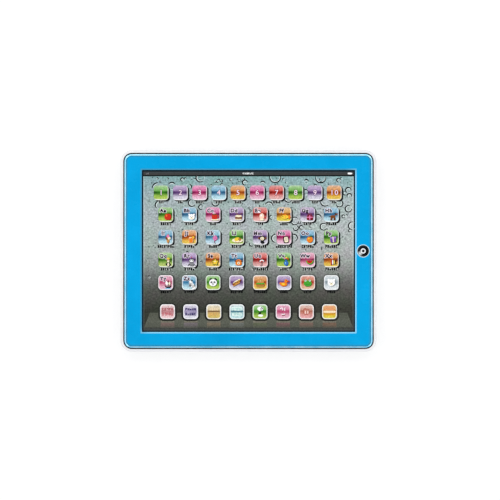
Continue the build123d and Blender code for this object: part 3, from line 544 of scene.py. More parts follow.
def queen():
    robe = blob(0.34, -0.6, 0.36, 0.34, BLACK, power=1.2)
    trim = blob(0.34, -0.62, 0.14, 0.28, CREAM, power=1.2)
    head = blob(0.34, -0.14, 0.17, 0.2, CREAM)
    hair = bow(0.34, -0.14, 0.2, -20, 220, 0.1, BROWN)
    crown = blob(0.34, 0.18, 0.24, 0.16, YELLOW, points=5, notch=0.4)
    return [robe, trim, head, hair, crown, *eyes(0.34, -0.14, 0.07, 0.035)]


def robot():
    body = slab(0.3, -0.6, 0.28, 0.22, GREY)
    head = slab(0.3, -0.12, 0.34, 0.24, BLACK)
    screen = slab(0.3, -0.12, 0.26, 0.16, WHITE)
    aerial = line(0.3, 0.1, 0.3, 0.34, 0.05, BLACK)
    arms = [line(0.3 + x * 0.26, -0.5, 0.3 + x * 0.5, -0.75, 0.09, BLACK) for x in (-1, 1)]
    lamp = blob(0.3, 0.36, 0.06, 0.06, RED)
    return [*arms, aerial, body, head, screen, *eyes(0.3, -0.1, 0.12, 0.07), lamp]


def star():
    edge = blob(0.3, -0.3, 0.52, 0.52, LEAF, points=5, notch=0.5)
    face = blob(0.3, -0.3, 0.42, 0.42, YELLOW, points=5, notch=0.5)
    return [edge, face, blob(0.25, -0.22, 0.1, 0.08, CREAM)]


def telephone():
    body = blob(0.25, -0.46, 0.42, 0.28, ORANGE, power=3.0)
    handset = bow(0.25, -0.42, 0.42, 25, 130, 0.15, ORANGE)
    ends = [blob(0.25 + side * 0.4, -0.16, 0.13, 0.1, BROWN) for side in (-1, 1)]
    dial = [blob(0.25, -0.44, size, size, ink) for size, ink in ((0.18, CREAM), (0.07, BROWN))]
    return [body, handset, *ends, *dial]


def umbrella():
    bands = ((0.13, RED), (0.26, WHITE), (0.39, DEEP_RED))
    canopy = [bow(0.2, -0.3, radius, 20, 150, 0.13, ink) for radius, ink in bands]
    handle = line(0.2, -0.75, 0.2, -0.2, 0.06, BLACK)
    return [*canopy, handle, bow(0.1, -0.75, 0.1, 180, 180, 0.06, BLACK)]


def vase():
    body = blob(0.28, -0.46, 0.3, 0.32, BLUE)
    neck = slab(0.28, -0.14, 0.12, 0.16, BLUE)
    places = ((0.1, 0.2, PINK), (0.32, 0.3, YELLOW), (0.52, 0.16, RED))
    blooms = [blob(x, y, 0.14, 0.14, ink, points=6, notch=0.3) for x, y, ink in places]
    stalk = line(0.28, 0.0, 0.3, 0.2, 0.06, LEAF)
    return [stalk, neck, body, *blooms, blob(0.2, -0.4, 0.07, 0.14, SKY, 10)]


def watermelon():
    rind = bow(0.28, -0.1, 0.44, 180, 180, 0.14, GREEN)
    flesh = [bow(0.28, -0.1, radius, 180, 180, 0.2, RED) for radius in (0.28, 0.1)]
    places = ((0.1, -0.2), (0.28, -0.3), (0.45, -0.2), (0.28, -0.15))
    seeds = [blob(x, y, 0.035, 0.05, BLACK) for x, y in places]
    return [rind, *flesh, *seeds]


def xylophone():
    rails = [line(-0.1, y, 0.75, end, 0.06, BLACK) for y, end in ((-0.62, -0.5), (0.0, -0.12))]
    bars = []
    for number, ink in enumerate((RED, WHITE, YELLOW, BLACK)):
        bars.append(slab(-0.02 + 0.2 * number, -0.31, 0.07, 0.36 - 0.05 * number, ink))
    return [*rails, *bars, line(0.3, 0.3, 0.75, 0.0, 0.06, BROWN)]


def yacht():
    hull = bow(0.3, -0.2, 0.44, 200, 140, 0.2, BLACK, taper=0.7)
    mast = line(0.32, -0.5, 0.32, 0.35, 0.05, BROWN)
    mainsail = blob(0.14, -0.08, 0.2, 0.36, WHITE, 12, power=1.0)
    jib = blob(0.5, -0.12, 0.15, 0.3, CREAM, -12, power=1.0)
    return [hull, mast, mainsail, jib, blob(0.3, -0.8, 0.5, 0.06, SKY)]


def zebra():
    head = blob(0.22, -0.1, 0.26, 0.36, WHITE, 20)
    muzzle = blob(0.1, -0.42, 0.18, 0.16, GREY, 20)
    neck = slab(0.52, -0.55, 0.22, 0.34, WHITE, 25)
    stripes = [bow(0.2, 0.1 - 0.14 * n, 0.22, 200, 130, 0.05, BLACK) for n in range(3)]
    bars = [line(0.36, -0.4 - 0.14 * n, 0.76, -0.28 - 0.14 * n, 0.06, BLACK) for n in range(3)]
    return [neck, *bars, head, muzzle, *stripes, blob(0.34, 0.26, 0.08, 0.14, BLACK, -20)]


def panda():
    patches = [blob(side * 0.3, 0.42, 0.2, 0.18, BLACK) for side in (-1, 1)]
    face = blob(0, -0.02, 0.52, 0.48, WHITE)
    rounds = [blob(side * 0.2, 0.04, 0.15, 0.13, BLACK, side * -35) for side in (-1, 1)]
    lights = eyes(0, 0.06, 0.19, 0.04, WHITE)
    nose = blob(0, -0.18, 0.1, 0.07, BLACK)
    return [*patches, face, *rounds, *lights, nose, bow(0, -0.22, 0.12, 200, 140, 0.04, BLACK)]


def hot_dog():
    bun = [line(-0.5, -0.42, 0.42, 0.1, 0.3, TAN), line(-0.4, -0.1, 0.5, 0.42, 0.3, CREAM)]
    sausage = line(-0.58, -0.3, 0.6, 0.38, 0.22, DEEP_RED)
    waves = []
    for n in range(5):
        start = 30 + 180 * (n % 2)
        waves.append(bow(-0.36 + 0.2 * n, -0.17 + 0.115 * n, 0.08, start, 180, 0.05, YELLOW))
    return [*bun, sausage, *waves]


def hamburger():
    top = bow(0, -0.02, 0.3, 0, 180, 0.34, TAN)
    crown = blob(0, 0.12, 0.52, 0.3, TAN)
    salad = slab(0, -0.14, 0.58, 0.09, GREEN)
    meat = slab(0, -0.28, 0.54, 0.1, BROWN)
    cheese = slab(0, -0.2, 0.5, 0.05, YELLOW)
    base = slab(0, -0.46, 0.5, 0.13, TAN)
    places = ((-0.24, 0.2), (0.0, 0.3), (0.24, 0.2), (0.0, 0.14))
    seeds = [blob(x, y, 0.05, 0.03, CREAM, x * 60) for x, y in places]
    return [top, crown, base, meat, cheese, salad, *seeds]


def duck():
    body = blob(-0.05, -0.24, 0.48, 0.28, ORANGE)
    wing = blob(-0.1, -0.2, 0.24, 0.14, YELLOW, -12)
    head = blob(0.28, 0.2, 0.24, 0.24, ORANGE)
    beak = blob(0.58, 0.16, 0.16, 0.07, RED)
    tail = blob(-0.48, -0.08, 0.16, 0.12, ORANGE, 40)
    return [tail, body, wing, head, beak, blob(0.34, 0.26, 0.05, 0.05, BLACK)]


def frog():
    face = blob(0, -0.12, 0.54, 0.4, GREEN)
    bumps = eyes(0, 0.24, 0.28, 0.19, GREEN)
    whites = eyes(0, 0.26, 0.28, 0.12, WHITE)
    return [*bumps, face, *whites, *eyes(0, 0.26, 0.28, 0.06), bow(0, 0.02, 0.32, 210, 120, 0.06, LEAF)]


def polar_bear():
    return bear(0.0, -0.02, 0.5)


LETTER_PICTURES = [
    apple, bear, cup, drum, egg, fish, gift, horse,
    ice_cream, juice, kite, lemon, monkey, notebook, orange_fruit, parcel,
    queen, robot, star, telephone, umbrella, vase, watermelon, xylophone,
    yacht, zebra, panda, hot_dog, hamburger, duck, frog, polar_bear,
]  # fmt: skip
LETTERED_KEYS = 26


# ---------------------------------------------------------------- stand-in words
GLYPHS = ("LTB", "LTM", "LBR", "TMB", "LMR", "LTMB", "TR", "MB")
GLYPH_WIDTH = 0.82  # in parts of the pitch


def glyph(x, y, width, height, stroke, kind, ink):
    """A stand-in for a letter: some of a left, right, top, middle and bottom stroke."""
    left = x - width / 2 + stroke / 2
    right = x + width / 2 - stroke / 2
    rise = height / 2 - stroke / 2
    strokes = {
        "L": (left, y, stroke / 2, height / 2),
        "R": (right, y, stroke / 2, height / 2),
        "T": (x, y + rise, width / 2, stroke / 2),
        "M": (x, y, width / 2, stroke / 2),
        "B": (x, y - rise, width / 2, stroke / 2),
    }
    return [bar(*strokes[name], ink) for name in kind]


def bar(x, y, across, up, ink):
    """A plain rectangle."""
    flat = np.array([(-across, -up), (across, -up), (across, up), (-across, up)]) + (x, y)
    return flat, [(0, 1, 2, 3)], ink


def word(x, y, count, pitch, height, stroke, ink, first):
    """A row of stand-in letters centred on (x, y)."""
    shapes = []
    for n in range(count):
        kind = GLYPHS[(first + 3 * n) % len(GLYPHS)]
        along = x + (n - (count - 1) / 2) * pitch
        shapes += glyph(along, y, pitch * GLYPH_WIDTH, height, stroke, kind, ink)
    return shapes


# ---------------------------------------------------------------- finishes
class Finish:
    """A material: a Principled shader whose sockets are set or fed by nodes added one by one."""

    def __init__(self, name, **settings):
        self.material = bpy.data.materials.new(name)
        self.material.use_nodes = True
        self.tree = self.material.node_tree
        self.shader = self.tree.nodes["Principled BSDF"]
        self.coordinates = None
        for setting, value in settings.items():
            self.shader.inputs[setting.replace("_", " ")].default_value = value

    def add(self, kind, inputs=(), **settings):
        """Adds a node with its settings; an input is a number, a colour or another socket."""
        node = self.tree.nodes.new("ShaderNode" + kind)
        for setting, value in settings.items():
            setattr(node, setting, value)
        for socket, value in dict(inputs).items():
            if isinstance(value, bpy.types.NodeSocket):
                self.tree.links.new(value, node.inputs[socket])
            else:
                node.inputs[socket].default_value = value
        return node

    def feed(self, socket, value):
        """Feeds one of the shader's sockets."""
        self.tree.links.new(value, self.shader.inputs[socket])

    def place(self):
        """Object coordinates, in metres."""
        if self.coordinates is None:
            self.coordinates = self.add("TexCoord").outputs["Object"]
        return self.coordinates

    def split(self, vector):
        """A vector's three numbers."""
        return self.add("SeparateXYZ", {0: vector}).outputs

    def maths(self, operation, one, two=0.0):
        """One number from two."""
        return self.add("Math", {0: one, 1: two}, operation=operation).outputs[0]

    def product(self, one, two):
        """Two numbers multiplied."""
        return self.maths("MULTIPLY", one, two)

    def past(self, number, edge):
        """How far a number's size is past an edge."""
        return self.maths("SUBTRACT", self.maths("ABSOLUTE", number), edge)

    def noise(self, scale, detail=3.0, squeeze=None):
        """Noise with features of about 1 / scale metres, squeezed by a factor for each axis."""
        source = self.place()
        if squeeze:
            source = self.add("Mapping", {"Vector": source, "Scale": squeeze}).outputs[0]
        inputs = {"Vector": source, "Scale": scale, "Detail": detail, "Roughness": 0.55}
        return self.add("TexNoise", inputs).outputs["Fac"]

    def cells(self, scale):
        """Distance to the nearest of scattered points."""
        inputs = {"Vector": self.place(), "Scale": scale}
        return self.add("TexVoronoi", inputs).outputs["Distance"]

    def spread(self, value, low, high, start=0.0, end=1.0):
        """A value between low and high, carried over to start and end."""
        inputs = {0: value, 1: low, 2: high, 3: start, 4: end}
        return self.add("MapRange", inputs).outputs[0]

    def ramp(self, value, *stops):
        """A colour that runs through stops, each a position and a colour."""
        node = self.add("ValToRGB", {0: value})
        band = node.color_ramp.elements
        while len(band) < len(stops):
            band.new(0.5)
        for element, (position, colour) in zip(band, stops):
            element.position = position
            element.color = colour
        return node.outputs["Color"]

    def curve(self, value, *stops):
        """A number that runs through stops, each a position and a number."""
        greys = [(position, (level, level, level, 1.0)) for position, level in stops]
        return self.ramp(value, *greys)

    def mix(self, factor, one, two, blend="MIX"):
        """Two colours mixed, from all of the first at 0 to all of the second at 1."""
        inputs = {"Factor": factor, "A": one, "B": two}
        node = self.tree.nodes.new("ShaderNodeMix")
        node.data_type = "RGBA"
        node.blend_type = blend
        for socket, value in inputs.items():
            target = next(i for i in node.inputs if i.name == socket and i.enabled)
            if isinstance(value, bpy.types.NodeSocket):
                self.tree.links.new(value, target)
            else:
                target.default_value = value
        return next(o for o in node.outputs if o.enabled)

    def mark(self, name, output="Color"):
        """An attribute of the piece."""
        return self.add("Attribute", attribute_name=name).outputs[output]

    def bump(self, height, depth):
        """Raises the surface by height times depth, in metres."""
        self.feed("Normal", self.add("Bump", {"Height": height, "Distance": depth}).outputs[0])


def darker(colour, part):
    """A colour with each channel cut to a part of itself."""
    return (*(channel * part for channel in colour[:3]), 1.0)


def lighter(colour, part):
    """A colour moved towards white by a part of the way."""
    return (*(channel + (1 - channel) * part for channel in colour[:3]), 1.0)


def toned(finish, colour, factor):
    """A colour made darker or brighter by a number about 1."""
    tone = finish.add("CombineXYZ", {0: factor, 1: factor, 2: factor}).outputs[0]
    return finish.mix(1.0, colour, tone, "MULTIPLY")


def moulded(name, colour, roughness, vary=0.08, scale=60.0, grain=900.0, depth=0.00001):
    """Moulded plastic or rubber: a slow drift of colour, cloudy gloss and a fine grain."""
    finish = Finish(name, Roughness=roughness)
    dark = darker(colour, 1 - vary)
    light = lighter(colour, vary * 0.4)
    finish.feed("Base Color", finish.ramp(finish.noise(scale, 4.0), (0.3, dark), (0.7, light)))
    cloud = finish.noise(scale * 4)
    finish.feed("Roughness", finish.spread(cloud, 0.3, 0.7, roughness * 0.85, roughness * 1.2))
    finish.bump(finish.noise(grain, 2.0), depth)
    return finish


def metal(name, colour, roughness, squeeze=(1.0, 14.0, 1.0)):
    """Drawn or plated metal: fine lines along one way, with cloudy roughness."""
    finish = Finish(name, Metallic=1.0, Roughness=roughness)
    lines = finish.noise(900.0, 4.0, squeeze)
    dark = darker(colour, 0.78)
    light = lighter(colour, 0.1)
    finish.feed("Base Color", finish.ramp(lines, (0.3, dark), (0.7, light)))
    finish.feed("Roughness", finish.spread(lines, 0.3, 0.7, roughness * 0.7, roughness * 1.4))
    finish.bump(lines, 0.000006)
    return finish


# where the frame's painted shade and highlight and the trim's painted reflections change, in
# millimetres
FRAME_CORNER = 7.7  # the painted shade beside the trim follows lines whose corners have this radius
TRIM_WIDTH = 2.2
TRIM_SHADE = 3.0  # how far in from the trim the blue is greyed by painted shade
SLOPE_EDGE = 1.8  # the slope ends this far outside the screen
SLOPE_BLUR = 0.2
SLOPE_START = 0.01  # and starts this far below the frame's face
SLOPE_FULL = 0.06
TRIM_FOLD = 0.33  # where the trim's two facets meet, below its top


def window_slope(finish):
    """1 on the slope round the window, where its painted highlight and shade go, and 0 off it."""
    x, y, z = finish.split(finish.place())
    top = frame_high[2]
    below = finish.spread(z, (top - SLOPE_START) * MM, (top - SLOPE_FULL) * MM)
    within = []
    for number, half in ((x, screen_x), (y, screen_y)):
        outer = (half + SLOPE_EDGE + SLOPE_BLUR) * MM
        inner = (half + SLOPE_EDGE) * MM
        within.append(finish.spread(finish.maths("ABSOLUTE", number), outer, inner))
    return finish.product(below, finish.product(*within))


def trim_shade_mask(finish):
    """Where the frame gets painted shade beside the trim: 0 well inside the frame, rising to 1 at the
    trim, round the frame's own corners.
    """
    x, y, _ = finish.split(finish.place())
    beyond = {}
    for axis, number in enumerate((x, y)):
        corner = (frame_high[axis] - FRAME_CORNER) * MM
        beyond[axis] = finish.maths("MAXIMUM", finish.past(number, corner), 0)
    corner_way = finish.add("CombineXYZ", beyond).outputs[0]
    reach = finish.add("VectorMath", {0: corner_way}, operation="LENGTH").outputs["Value"]
    trim_edge = FRAME_CORNER - TRIM_WIDTH
    near = finish.spread(reach, (trim_edge - TRIM_SHADE) * MM, trim_edge * MM)
    return finish.maths("POWER", near, 1.6)


def frame_plastic():
    """Glossy blue plastic with faint flow clouds, and painted shade that greys it beside the trim. The
    slope round the window has painted highlight and shade: it is palest along the lower and right
    sides."""
    finish = Finish("frame_plastic", Roughness=0.26, Specular_IOR_Level=0.09)
    cloud = finish.noise(22.0, 4.0)
    blue = finish.ramp(cloud, (0.3, paint(0, 155, 213)), (0.7, paint(2, 166, 227)))
    # painted shade: the blue greys beside the trim
    blue = finish.mix(trim_shade_mask(finish), blue, paint(48, 136, 174))
    # painted highlight and shade on the window's slope: pale along the lower and right sides, teal-grey
    # along the top and left
    x, y, _ = finish.split(finish.place())
    across = finish.product(x, 1 / (screen_x * MM))
    up = finish.product(y, 1 / (screen_y * MM))
    side = finish.spread(finish.maths("SUBTRACT", across, up), -0.1, 0.1)
    lit = finish.mix(side, paint(56, 150, 190), paint(132, 206, 240))
    finish.feed("Base Color", finish.mix(window_slope(finish), blue, lit))
    finish.feed("Roughness", finish.spread(finish.noise(90.0), 0.3, 0.7, 0.2, 0.32))
    finish.bump(finish.noise(1500.0, 2.0), 0.000002)
    return finish


def trim_chrome():
    """Plated plastic with painted reflections: a nearly flat facet in the frame's blue, paler to the
    top, with painted glints, and a steep outer facet painted dark, with paler painted breaks along it."""
    finish = Finish("trim_chrome", Metallic=0.8, Roughness=0.14, Specular_IOR_Level=0.2)
    fold = trim_high[2] - TRIM_FOLD
    _, y, z = finish.split(finish.place())
    flat = finish.spread(z, (fold - 0.04) * MM, (fold + 0.03) * MM)
    # painted reflection: the steep facet dark, with paler breaks
    reflection_breaks = finish.spread(finish.noise(42.0, 2.0), 0.6, 0.7)
    outer = finish.mix(reflection_breaks, paint(0, 10, 20), paint(64, 68, 84))
    # painted reflection: the flat facet in the frame's blue, paler towards the top, with painted glints
    near = finish.spread(y, -frame_high[1] * MM, frame_high[1] * MM)
    inner = finish.mix(near, paint(112, 184, 216), paint(134, 196, 216))
    painted_glints = finish.spread(finish.noise(90.0, 2.0), 0.35, 0.65, 0.0, 0.35)
    inner = finish.mix(painted_glints, inner, paint(196, 226, 240))
    finish.feed("Base Color", finish.mix(flat, outer, inner))
    finish.feed("Roughness", finish.spread(finish.noise(400.0, 3.0), 0.3, 0.7, 0.1, 0.22))
    finish.bump(finish.noise(700.0), 0.000004)
    return finish


def ring_chrome():
    """The bright turned ring, with a cool tint and fine scratches."""
    finish = Finish("ring_chrome", Metallic=0.1, Roughness=0.2)
    scratches = finish.noise(1100.0, 4.0, (1.0, 1.0, 6.0))
    tone = finish.ramp(scratches, (0.3, paint(186, 228, 240)), (0.7, paint(228, 246, 250)))
    finish.feed("Base Color", tone)
    finish.feed("Roughness", finish.spread(scratches, 0.3, 0.7, 0.12, 0.26))
    finish.bump(scratches, 0.000006)
    return finish


BRIGHT_START = -20.0  # the printed picture brightens from here towards the right


def screen_ground(finish):
    """The screen's printed picture: pale above, dark at the foot, cloudy, with specks."""
    x, y, _ = finish.split(finish.place())
    height = finish.spread(y, -screen_y * MM, screen_y * MM)
    ground = finish.ramp(
        height,
        (0.0, paint(44, 46, 38)),
        (0.14, paint(50, 52, 44)),
        (0.26, paint(78, 81, 74)),
        (0.33, paint(100, 108, 101)),
        (0.4, paint(134, 142, 136)),
        (0.5, paint(158, 168, 163)),
        (0.66, paint(166, 178, 176)),
        (0.82, paint(156, 174, 172)),
        (1.0, paint(118, 164, 164)),
    )
    tint = finish.noise(70.0, 4.0)
    cast = finish.ramp(tint, (0.38, paint(176, 194, 180)), (0.62, paint(208, 184, 206)))
    ground = finish.mix(0.4, ground, cast, "SOFT_LIGHT")
    ground = toned(finish, ground, finish.spread(x, BRIGHT_START * MM, screen_x * MM, 1.0, 1.16))
    warm = finish.mix(1.0, ground, paint(255, 249, 250), "MULTIPLY")
    ground = finish.mix(finish.spread(x, 0.0, screen_x * MM), ground, warm)
    grain = finish.noise(620.0, 2.0)
    ground = toned(finish, ground, finish.spread(grain, 0.3, 0.7, 0.6, 1.3))
    speck = finish.spread(finish.cells(260.0), 0.24, 0.14, 0.0, 0.85)
    patch = finish.spread(finish.noise(60.0, 2.0), 0.44, 0.56)
    shown = finish.product(speck, patch)
    shown = finish.product(shown, finish.spread(height, 0.3, 0.5))
    return finish.mix(shown, ground, paint(36, 66, 64))


# how far past the screen's edge: less than nothing is inside it
PALE_START = -2.6  # a pale line grows from here
PALE_END = -1.6
GAP_SHADE_START = -1.45  # and here a navy line of painted shade, in the gap under the frame, takes over
GAP_SHADE_END = -1.3
PALE_FAINT_Y = -35.0  # the pale line is faint below this and full above the next
PALE_FULL_Y = 10.0


def printed_sheet():
    """The touch sheet: the printed picture, a navy line of painted shade round the window and a pale
    line in it.
    """
    finish = Finish("printed_sheet", Roughness=0.28, Specular_IOR_Level=0.2)
    x, y, _ = finish.split(finish.place())
    past_x = finish.past(x, screen_x * MM)
    past_y = finish.past(y, screen_y * MM)
    past = finish.maths("MAXIMUM", past_x, past_y)
    pale = finish.spread(past, PALE_START * MM, PALE_END * MM, 0.0, 0.62)
    fade = finish.spread(y, PALE_FAINT_Y * MM, PALE_FULL_Y * MM, 0.12, 1.0)
    ground = finish.mix(finish.product(pale, fade), screen_ground(finish), paint(210, 230, 232))
    # painted shade: a navy line where the sheet meets the gap under the frame's edge
    outline = finish.spread(past, GAP_SHADE_START * MM, GAP_SHADE_END * MM)
    finish.feed("Base Color", finish.mix(outline, ground, paint(0, 12, 26)))
    finish.feed("Roughness", finish.spread(finish.noise(300.0), 0.3, 0.7, 0.22, 0.36))
    finish.bump(finish.noise(1400.0, 2.0), 0.000002)
    return finish


def key_gloss():
    """A key's print: its ink is dark along the middle, pale above, and runs into its glow below,
    with a white line inside the lower and right edges and, by the ink's alpha, all round."""
    finish = Finish("key_gloss", Roughness=0.22, Specular_IOR_Level=0.22)
    ink = finish.mark("ink")
    border = finish.mark("ink", "Alpha")
    u, v, edge = finish.split(finish.mark("place", "Vector"))
    height = finish.spread(v, -1.0, 1.0)
    aside = finish.spread(finish.product(u, u), 0.0, 0.8, 0.5, 1.0)
    rise = ((0.3, 0.0), (0.42, 0.5), (0.5, 1.0))
    fall = ((0.56, 1.0), (0.62, 0.25), (0.7, 0.0))
    band = finish.product(finish.curve(height, *rise, *fall), aside)
    band = finish.product(band, finish.spread(border, 0.0, 1.0, 1.0, 0.35))
    soft = finish.add("Gamma", {"Color": ink, "Gamma": 0.5}).outputs[0]
    upper = finish.curve(height, (0.56, 0.0), (0.64, 0.7), (0.8, 1.0))
    lower = finish.curve(height, (0.04, 1.0), (0.2, 0.92), (0.34, 0.5), (0.48, 0.0))
    sheen = finish.curve(height, (0.6, 0.0), (0.72, 0.06), (0.9, 0.2), (1.0, 0.5))
    deep = finish.mix(0.9, ink, paint(118, 108, 132), "MULTIPLY")
    colour = finish.mix(upper, ink, soft)
    colour = finish.mix(lower, colour, finish.mark("glow"))
    colour = finish.mix(band, colour, deep)
    colour = finish.mix(sheen, colour, WHITE)
    colour = toned(finish, colour, finish.spread(finish.noise(1000.0, 2.0), 0.3, 0.7, 0.56, 1.0))
    near = finish.spread(edge, 0.35, 1.35, 1.0, 0.0)
    low = finish.spread(v, -0.78, -0.86)
    right = finish.spread(u, 0.84, 0.9)
    lit = finish.maths("MAXIMUM", low, finish.product(right, 0.75))
    lit = finish.product(near, finish.maths("MAXIMUM", lit, border))
    colour = finish.mix(finish.product(lit, 0.88), colour, WHITE)
    finish.feed("Base Color", colour)
    finish.feed("Roughness", finish.spread(finish.noise(500.0), 0.3, 0.7, 0.16, 0.3))
    finish.bump(finish.noise(1600.0, 2.0), 0.000002)
    return finish


def key_shade():
    """Printed shadow: the screen's ground darkened by the place attribute's first number."""
    finish = Finish("key_shade", Roughness=0.3, Specular_IOR_Level=0.2)
    depth = finish.split(finish.mark("place", "Vector"))[0]
    finish.feed("Base Color", finish.mix(depth, screen_ground(finish), paint(2, 8, 9)))
    finish.bump(finish.noise(1400.0, 2.0), 0.000002)
    return finish


def printed_ink(name, grain=0.1):
    """Ink laid flat: the piece's own inks with a slight print grain."""
    finish = Finish(name, Roughness=0.3, Specular_IOR_Level=0.2)
    grey = finish.spread(finish.noise(1300.0), 0.3, 0.7, 1 - 2 * grain, 1.0 + grain)
    finish.feed("Base Color", toned(finish, finish.mark("ink"), grey))
    finish.feed("Roughness", finish.spread(finish.noise(400.0), 0.3, 0.7, 0.24, 0.36))
    finish.bump(finish.noise(1500.0, 2.0), 0.000002)
    return finish


def cover_plastic():
    """White case plastic: cool and glossy, with faint clouds, rubbed patches and a fine grain."""
    finish = Finish("cover_plastic", Roughness=0.32, Specular_IOR_Level=0.35)
    clouds = finish.noise(22.0, 4.0)
    tone = finish.ramp(clouds, (0.3, paint(231, 231, 234)), (0.7, paint(238, 238, 239)))
    rubs = finish.spread(finish.noise(160.0, 5.0, (1.0, 7.0, 1.0)), 0.62, 0.75, 0.0, 0.2)
    finish.feed("Base Color", finish.mix(rubs, tone, paint(208, 208, 211)))
    finish.feed("Roughness", finish.spread(finish.noise(90.0, 5.0), 0.3, 0.7, 0.24, 0.44))
    finish.bump(finish.noise(2200.0, 2.0), 0.000006)
    return finish


TRACK_PITCH = 2.2  # from the middle of one track to the middle of the next
TRACK_HALF = 0.3  # half a track's width


def circuit_board():
    """Green resist over copper: a grid of tracks that runs now one way and now the other."""
    finish = Finish("circuit_board", Roughness=0.35)
    x, y, _ = finish.split(finish.place())
    wander = finish.product(finish.noise(120.0, 1.0), 0.004)
    across = finish.maths("PINGPONG", finish.maths("ADD", x, wander), TRACK_PITCH / 2 * MM)
    along = finish.maths("PINGPONG", finish.maths("ADD", y, wander), TRACK_PITCH / 2 * MM)
    way = finish.spread(finish.noise(70.0, 1.0), 0.49, 0.51)
    track = finish.mix(way, across, along)
    copper = finish.spread(track, (TRACK_HALF - 0.05) * MM, (TRACK_HALF + 0.05) * MM)
    tone = finish.mix(copper, paint(86, 150, 84), paint(24, 92, 46))
    pads = finish.spread(finish.cells(190.0), 0.16, 0.13)
    finish.feed("Base Color", finish.mix(pads, tone, paint(196, 190, 168)))
    finish.bump(copper, 0.00003)
    return finish


def cell_sleeve():
    """A cell's printed sleeve: green with a pale band at one end, and bare metal ends."""
    finish = Finish("cell_sleeve", Roughness=0.35, Metallic=0.25)
    low, high = span("battery_cell_1")
    along = finish.spread(finish.split(finish.place())[0], low[0] * MM, high[0] * MM)
    bands = finish.ramp(
        along,
        (0.0, paint(190, 190, 186)),
        (0.03, paint(34, 110, 62)),
        (0.7, paint(222, 222, 214)),
        (0.96, paint(190, 190, 186)),
    )
    bands.node.color_ramp.interpolation = "CONSTANT"
    wear = finish.spread(finish.noise(260.0, 4.0), 0.6, 0.75, 0.0, 0.4)
    finish.feed("Base Color", finish.mix(wear, bands, paint(160, 165, 160)))
    finish.bump(finish.noise(600.0), 0.000008)
    return finish


def cone_paper():
    """Pressed paper with short fibres."""
    finish = Finish("cone_paper", Roughness=0.9)
    fibres = finish.noise(1400.0, 5.0, (1.0, 3.0, 1.0))
    finish.feed("Base Color", finish.ramp(fibres, (0.3, paint(30, 30, 32)), (0.7, paint(74, 72, 70))))
    finish.bump(fibres, 0.00006)
    return finish


def foam():
    """Open-cell foam: pits between scattered cells, darkened by painted shade."""
    finish = Finish("foam", Roughness=0.95)
    pits = finish.cells(1100.0)
    # painted shade: darker down in the pits
    finish.feed("Base Color", finish.ramp(pits, (0.1, paint(30, 30, 32)), (0.5, paint(86, 86, 90))))
    finish.bump(pits, 0.0002)
    return finish


GLEAM_LEFT = 3.0  # the home key's painted gleam, from its middle
GLEAM_DOWN = 2.4
GLEAM_CORE = 0.6
GLEAM_RADIUS = 2.6


def key_plastic():
    """The home key's black gloss, with the fine circular polish of a dished cap and a painted highlight
    to the lower left."""
    finish = Finish("key_plastic", Roughness=0.12, Specular_IOR_Level=0.2)
    centred = finish.add("Mapping", {"Vector": finish.place(), "Location": (-home_x * MM, 0, 0)})
    polish = finish.add(
        "TexWave",
        {"Vector": centred.outputs[0], "Scale": 600.0, "Distortion": 1.5},
        wave_type="RINGS",
        rings_direction="Z",
    ).outputs["Fac"]
    x, y, _ = finish.split(finish.place())
    # painted highlight: a pale gleam to the lower left of the key's middle
    gleam_x = finish.maths("SUBTRACT", x, (home_x - GLEAM_LEFT) * MM)
    gleam_y = finish.maths("ADD", y, GLEAM_DOWN * MM)
    squares = finish.maths("ADD", finish.product(gleam_x, gleam_x), finish.product(gleam_y, gleam_y))
    reach = finish.maths("SQRT", squares)
    painted_gleam = finish.spread(reach, GLEAM_CORE * MM, GLEAM_RADIUS * MM, 0.75, 0.0)
    black = finish.ramp(finish.noise(300.0), (0.3, paint(0, 1, 3)), (0.7, paint(6, 8, 12)))
    finish.feed("Base Color", finish.mix(painted_gleam, black, paint(226, 232, 234)))
    finish.feed("Roughness", finish.spread(polish, 0.0, 1.0, 0.08, 0.16))
    finish.bump(polish, 0.0000008)
    return finish


OWN_FINISHES = {
    "frame_plastic": frame_plastic,
    "trim_chrome": trim_chrome,
    "ring_chrome": ring_chrome,
    "key_plastic": key_plastic,
    "board": circuit_board,
    "printed_sheet": printed_sheet,
    "cover_plastic": cover_plastic,
    "cell_can": cell_sleeve,
    "cone_paper": cone_paper,
    "foam": foam,
}
# colour, roughness, how much the colour varies, the clouds' and the grain's scale, its depth
MOULDED = {
    "mark_plastic": (paint(238, 242, 246), 0.25, 0.05, 300.0),
    "dome_rubber": (paint(214, 212, 204), 0.6, 0.1, 150.0, 1500.0, 0.00003),
    "carbon_rubber": (paint(34, 34, 36), 0.85, 0.3, 400.0, 1800.0, 0.00004),
    "film": (paint(226, 230, 226), 0.2, 0.05, 90.0, 700.0, 0.000004),
    "inner_plastic": (paint(214, 214, 210), 0.55, 0.08, 50.0, 1200.0, 0.00002),
    "foot_rubber": (paint(58, 58, 62), 0.8, 0.25, 220.0, 1900.0, 0.00005),
    "resin": (paint(30, 30, 32), 0.2, 0.3, 120.0, 400.0, 0.00006),
    "connector_plastic": (paint(232, 226, 206), 0.45, 0.08, 150.0),
    "lead_black": (paint(26, 26, 28), 0.45, 0.3, 300.0, 1500.0, 0.00002),
    "lead_red": (paint(196, 30, 24), 0.42, 0.15, 300.0, 1500.0, 0.00002),
}
# colour, roughness and how much the lines are squeezed along each axis
METALS = {
    "screw_steel": (paint(196, 196, 200), 0.3),
    "contact_metal": (paint(214, 210, 196), 0.24),
    "speaker_steel": (paint(190, 180, 150), 0.34, (6.0, 1.0, 1.0)),
}


